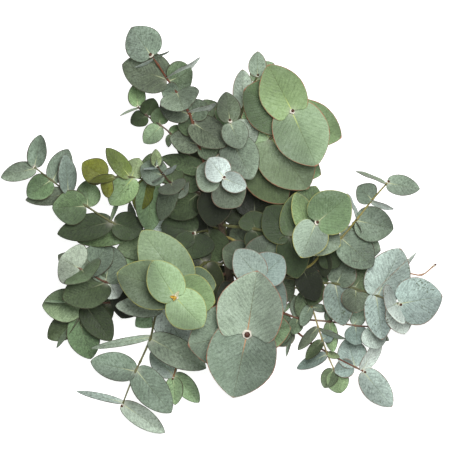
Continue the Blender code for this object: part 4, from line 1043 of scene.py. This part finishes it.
def make_ball(name, node, direction, shift, radius, length, sides, relief):
    """A small rounded bud or collar that starts near a twig's last node and points along a direction."""
    start = node + direction * shift
    angles = [math.pi * (BALL_START + BALL_PART * step / BALL_STEPS) for step in range(BALL_STEPS + 1)]
    path = [start + direction * length * (1 - math.cos(angle)) / 2 for angle in angles]

    def radius_at(index, place, outward):
        uneven = noise.noise(outward * RELIEF_ROUND + node * RELIEF_CHANGE)
        return radius * math.sin(angles[index]) * (1 + relief * uneven)

    return ringed_piece(name, path, radius_at, sides)


def make_bud(twig):
    """The dark bud that ends a twig, and the pale collar that its last pair of leaves leaves round it."""
    route = twig_route(twig)
    direction = way_out(route)
    size = BUD_SIZES.get(twig.name, 1.0) * twig.radius * MM
    bud = make_ball(twig.name + "_bud", route[-1], direction, BUD_SHIFT * MM, BUD_SHARE * size,
                    BUD_LENGTH * MM, BUD_SIDES, 0.0)
    collar = make_ball(twig.name + "_collar", route[-1], direction, COLLAR_SHIFT * MM,
                       COLLAR_SHARE * size, COLLAR_LENGTH * MM, COLLAR_SIDES, COLLAR_RELIEF)
    return bud, collar


def make_bark_piece():
    """The woody main stem with its rough bark, in short sections."""
    path = main_path(BARK_STEP)
    shares = path_shares(path)

    def radius_at(index, place, outward):
        along_grain = outward * BARK_RIDGES + place * BARK_CHANGE
        ridge = noise.noise(along_grain) + BARK_FINE_SHARE * noise.noise(along_grain * BARK_FINENESS)
        return main_radius(shares[index]) + BARK_RELIEF * MM * (ridge - BARK_DEPTH)

    return ringed_piece("main_stem_bark", path, radius_at, BARK_SIDES)


class Skin:
    """A node material in the making."""

    def __init__(self, name):
        self.material = bpy.data.materials.new(name)
        self.material.use_nodes = True
        self.tree = self.material.node_tree
        self.shader = self.tree.nodes["Principled BSDF"]

    def node(self, kind, **settings):
        node = self.tree.nodes.new("ShaderNode" + kind)
        for key, value in settings.items():
            setattr(node, key, value)
        return node

    def put(self, socket, value):
        """Link another node's output to a socket, or set the socket's own value."""
        if isinstance(value, bpy.types.NodeSocket):
            self.tree.links.new(value, socket)
        elif isinstance(value, tuple) and len(value) == 3 and socket.type == "RGBA":
            socket.default_value = (*value, 1.0)
        else:
            socket.default_value = value

    def fill(self, node, settings):
        """Put values or links into a node's sockets, by the names of these."""
        for name, value in settings.items():
            self.put(node.inputs[name], value)
        return node

    def wired(self, node, *values):
        """Put values or links into a node's first sockets; the result is its first output."""
        for socket, value in zip(node.inputs, values):
            self.put(socket, value)
        return node.outputs[0]

    def place(self):
        return self.node("TexCoord").outputs["Object"]

    def mix(self, share, first, second, mode="MIX"):
        """Mix two colours; for colours the node has its sockets 6 and 7, and its third output."""
        node = self.node("Mix", data_type="RGBA", blend_type=mode)
        self.put(node.inputs[0], share)
        self.put(node.inputs[6], first)
        self.put(node.inputs[7], second)
        return node.outputs[2]

    def calculate(self, operation, *values):
        return self.wired(self.node("Math", operation=operation), *values)

    def times(self, first, second):
        return self.calculate("MULTIPLY", first, second)

    def stretch(self, value, low, high, first=0.0, last=1.0):
        """Map a value between two limits smoothly onto a new range."""
        node = self.node("MapRange", interpolation_type="SMOOTHSTEP")
        return self.wired(node, value, low, high, first, last)

    def noise(self, place, scale, detail=3.0, roughness=0.55):
        settings = {"Vector": place, "Scale": scale, "Detail": detail, "Roughness": roughness}
        return self.fill(self.node("TexNoise"), settings).outputs[0]

    def parts(self, kind, value):
        """The channels of a colour or the coordinates of a place."""
        node = self.node(kind)
        self.wired(node, value)
        return node.outputs

    def finish(self, color, roughness, relief, strength, depth):
        """Set what every material has: its colour, its roughness and its fine relief."""
        settings = {"Strength": strength, "Distance": depth * MM, "Height": relief}
        normal = self.fill(self.node("Bump"), settings).outputs["Normal"]
        self.fill(self.shader, {"Base Color": color, "Roughness": roughness, "Normal": normal})
        return self.material


def shade_darkened(color):
    """What a rim or a midrib looks like on a dark inner leaf, whose tint is partly painted shade:
    darkened towards SHADE.
    """
    return mixed(linear(color), linear(SHADE), SHADE_DARKENING)


def leaf_material(name, rim, midrib, specks, texture):
    """Waxy leaf: a grey bloom over green, fine side veins, a pale midrib and a coloured rim."""
    skin = Skin(name)
    place = skin.place()
    tint = skin.node("Attribute", attribute_name="tint").outputs["Color"]
    marks = skin.node("Attribute", attribute_name="marks").outputs["Color"]
    rib, edge, foot = list(skin.parts("SeparateColor", marks))[:3]
    lightness = skin.stretch(skin.parts("SeparateColor", tint)[1], *LIGHT_TINTS)
    veins = skin.parts("SeparateXYZ", skin.node("UVMap", uv_map="veins").outputs[0])
    out_to_rim = skin.calculate("ABSOLUTE", veins[1])

    # Side veins leave the midrib at a slant and wander a little; streaks run beside them
    phase = skin.calculate("MULTIPLY_ADD", skin.noise(place, WANDER_SCALE), WANDER, veins[0])
    near = skin.calculate("PINGPONG", phase, 0.5)
    fade = skin.stretch(out_to_rim, *VEIN_FADE)
    vein = skin.times(skin.stretch(near, *VEIN_LINE), fade)
    beside = skin.times(skin.stretch(near, *BESIDE_VEIN), fade)
    streak_place = skin.wired(skin.node("CombineXYZ"), skin.times(phase, STREAKS_BY_VEIN),
                              skin.times(out_to_rim, STREAKS_TO_RIM))
    streaks = skin.noise(streak_place, *STREAKS)
    net = skin.fill(skin.node("TexVoronoi", feature="DISTANCE_TO_EDGE"),
                    {"Vector": place, "Scale": NET_SCALE})
    net_line = skin.stretch(net.outputs["Distance"], *NET_LINE)

    # Light and dark of the leaf's own tint
    patches = skin.noise(place, *PATCHES)
    mottling = skin.noise(place, *MOTTLING)
    grain = skin.noise(place, *GRAIN)
    shares = ((patches, PATCH_LIGHT), (mottling, MOTTLING_LIGHT * texture),
              (grain, GRAIN_LIGHT * texture), (streaks, STREAK_LIGHT * texture))
    light = MEAN_LIGHT - sum(share for _, share in shares) / 2
    shares += ((vein, VEIN_LIGHT * texture), (beside, BESIDE_LIGHT * texture),
               (net_line, NET_LIGHT * texture), (foot, FOOT_LIGHT))
    for value, share in shares:
        light = skin.calculate("MULTIPLY_ADD", value, share, light)
    grey = skin.wired(skin.node("CombineColor"), light, light, light)
    color = skin.mix(1.0, tint, grey, "MULTIPLY")
    bloom = skin.times(skin.stretch(patches, *BLOOM_PATCHES), skin.stretch(grain, *BLOOM_GRAIN))
    color = skin.mix(skin.times(bloom, lightness), color, skin.mix(BLOOM_PALENESS, tint, linear(BLOOM)))

    # Foot, midrib, rim and specks
    near_foot = skin.times(skin.calculate("POWER", foot, FOOT_SHARPNESS), FOOT_SHARE)
    color = skin.mix(near_foot, color, skin.mix(FOOT_PALENESS, tint, linear(LEAF_BASE)))
    shaded = skin.mix(1.0, color, RIB_SHADE, "MULTIPLY")
    # on dark tints the midrib is darkened along with the leaf's painted shade
    pale_rib = skin.mix(lightness, shade_darkened(midrib), linear(midrib))
    rib_color = skin.mix(skin.stretch(foot, *PALE_RIB), shaded, pale_rib)
    color = skin.mix(skin.times(rib, RIB_SHARE), color, rib_color)
    uneven = skin.stretch(skin.noise(place, RIM_SCALE), *RIM_UNEVENNESS)
    rim_share = skin.times(skin.stretch(edge, *RIM_EDGE), uneven)
    # on dark tints the rim is darkened along with the leaf's painted shade
    color = skin.mix(rim_share, color, skin.mix(lightness, shade_darkened(rim), linear(rim)))
    near_rim = skin.stretch(out_to_rim, *CLUSTERS_TO_RIM)
    clusters = skin.calculate("ADD", skin.noise(place, *CLUSTERS), near_rim)
    clusters = skin.stretch(clusters, *CLUSTER_EDGE, 0.0, specks)
    dots = skin.stretch(skin.noise(place, *DOTS), *DOT_EDGE)
    color = skin.mix(skin.times(clusters, dots), color, linear(SPECK))

    skin.fill(skin.shader, {"Specular IOR Level": 0.35, "Sheen Weight": 0.08, "Sheen Roughness": 0.5})
    relief = skin.times(net_line, NET_RELIEF)
    for value, share in ((vein, VEIN_RELIEF), (streaks, STREAK_RELIEF), (grain, GRAIN_RELIEF)):
        relief = skin.calculate("MULTIPLY_ADD", value, share, relief)
    return skin.finish(color, skin.stretch(grain, *LEAF_ROUGHNESS), relief, *LEAF_RELIEF)


def stem_material(name, color):
    """Smooth young twig skin, streaked and a little paler on one side."""
    skin = Skin(name)
    place = skin.place()
    streaks = skin.noise(place, *STEM_STREAKS)
    patches = skin.noise(place, *STEM_PATCHES)
    base = linear(color)
    dark = mixed(base, linear(STEM_SHADOW), STEM_DARKNESS)
    pale = mixed(base, linear(STEM_BLOOM), STEM_PALENESS)
    color = skin.mix(skin.stretch(streaks, *STREAK_EDGE), dark, base)
    color = skin.mix(skin.stretch(patches, *PALE_SIDE), color, pale)
    return skin.finish(color, skin.stretch(streaks, *STEM_ROUGHNESS), streaks, *STEM_RELIEF)


def bark_material():
    """Grey-brown bark of the main stem with long cracks."""
    skin = Skin("rough_bark")
    place = skin.place()
    flattened = skin.fill(skin.node("Mapping"), {"Vector": place, "Scale": CRACK_FLATNESS})
    cracks = skin.noise(flattened.outputs[0], *CRACKS)
    patches = skin.noise(place, *BARK_PATCHES)
    brown = skin.mix(skin.stretch(cracks, *CRACK_EDGE), linear(BARK_CRACK), linear(BARK_RIDGE))
    color = skin.mix(skin.stretch(patches, *BARK_PATCH_EDGE), brown, linear(BARK_PATCH))
    return skin.finish(color, BARK_ROUGHNESS, cracks, *BARK_SKIN_RELIEF)


def cut_wood_material():
    """Pale wood of the cut end, with rings round its pith."""
    skin = Skin("cut_wood")
    pith = tuple(-value * MM for value in MAIN_ROUTE[0])
    centred = skin.node("Mapping", vector_type="POINT")
    skin.fill(centred, {"Vector": skin.place(), "Location": pith})
    wave = skin.node("TexWave", wave_type="RINGS", rings_direction="SPHERICAL")
    skin.fill(wave, {"Vector": centred.outputs[0], "Scale": RING_SCALE, "Distortion": RING_WAVINESS})
    rings = wave.outputs[1]
    color = skin.mix(rings, linear(WOOD_LIGHT), linear(WOOD_DARK))
    return skin.finish(color, WOOD_ROUGHNESS, rings, *FAINT_RELIEF)


def bud_material(name, color):
    """A small dry bud or collar, slightly scaly."""
    skin = Skin(name)
    scales = skin.noise(skin.place(), *SCALES)
    base = linear(color)
    dark = mixed(base, BUD_SHADOW, BUD_DARKNESS)
    mottled = skin.mix(skin.stretch(scales, *SCALE_EDGE), dark, base)
    return skin.finish(mottled, BUD_ROUGHNESS, scales, *FAINT_RELIEF)


def shown(piece, material, slot, *nodes):
    """Give a piece its material and its place in the model."""
    piece.data.materials.append(material)
    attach(piece, "root")
    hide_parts(*nodes)


def dress_twig(twig, blades, chance):
    look = LOOKS[twig.name]
    slot = "bark" if twig.color == "bark" else "leaf_" + twig.color
    if blades:
        leaves = make_leaves(twig, blades, chance)
        specks = SPECKS.get(twig.name, FEW_SPECKS)
        texture = TEXTURES.get(twig.name, PLAIN_TEXTURE)
        material = leaf_material(twig.name + "_leaf", look.rim, look.midrib, specks, texture)
        shown(leaves, material, slot, twig.name)
    stem = make_stem_piece(twig)
    shown(stem, stem_material(twig.name + "_skin", look.stem), "bark", twig.name)
    bud, collar = make_bud(twig)
    shown(bud, bud_material(twig.name + "_bud", look.bud), "bark", twig.name)
    shown(collar, bud_material(twig.name + "_collar", LEAF_BASE), slot, twig.name)


def dress_main_stem():
    bark = make_bark_piece()
    shown(bark, bark_material(), "bark", "main_stem")
    bark.data.materials.append(cut_wood_material())
    for face in bark.data.polygons:
        if len(face.vertices) > 4:
            face.material_index = 1
            face.use_smooth = False


def make_floor():
    corners = [(x * FLOOR_HALF, y * FLOOR_HALF, 0) for x, y in ((-1, -1), (1, -1), (1, 1), (-1, 1))]
    mesh = bpy.data.meshes.new("floor")
    mesh.from_pydata(corners, [], [(0, 1, 2, 3)])
    skin = Skin("pale_floor")
    skin.fill(skin.shader, {"Base Color": (FLOOR_GREY,) * 3, "Roughness": FLOOR_ROUGHNESS,
                            "Emission Color": (1.0, 1.0, 1.0), "Emission Strength": FLOOR_GLOW})
    mesh.materials.append(skin.material)
    add_object("floor", mesh)


def make_light():
    """One large soft light, high up towards the north-east."""
    data = bpy.data.lights.new("key_light", "AREA")
    data.shape = "DISK"
    data.size = KEY_SIZE
    data.energy = KEY_POWER
    light = add_object("key_light", data)
    light.location = KEY_PLACE
    light.rotation_euler = (Vector(KEY_AIM) - Vector(KEY_PLACE)).to_track_quat("-Z", "Y").to_euler()


def make_studio():
    make_floor()
    make_light()
    world = bpy.data.worlds.new("studio")
    world.use_nodes = True
    room = world.node_tree.nodes["Background"]
    room.inputs["Color"].default_value = (1.0, 1.0, 1.0, 1.0)
    room.inputs["Strength"].default_value = ROOM_LIGHT
    bpy.context.scene.world = world
    bpy.context.scene.view_settings.view_transform = "Standard"


def make_camera():
    data = bpy.data.cameras.new("camera")
    data.sensor_width = SENSOR
    data.lens = SENSOR * VIEW_DISTANCE / VIEW_WIDTH
    camera = add_object("camera", data)
    camera.location = (*VIEW_CENTRE, VIEW_HEIGHT + VIEW_DISTANCE)
    bpy.context.scene.camera = camera


def main():
    blades = grow_leaves()
    chance = random.Random(SEED)
    dress_main_stem()
    for twig in TWIGS:
        dress_twig(twig, blades[twig.name], chance)
    make_studio()
    make_camera()


main()
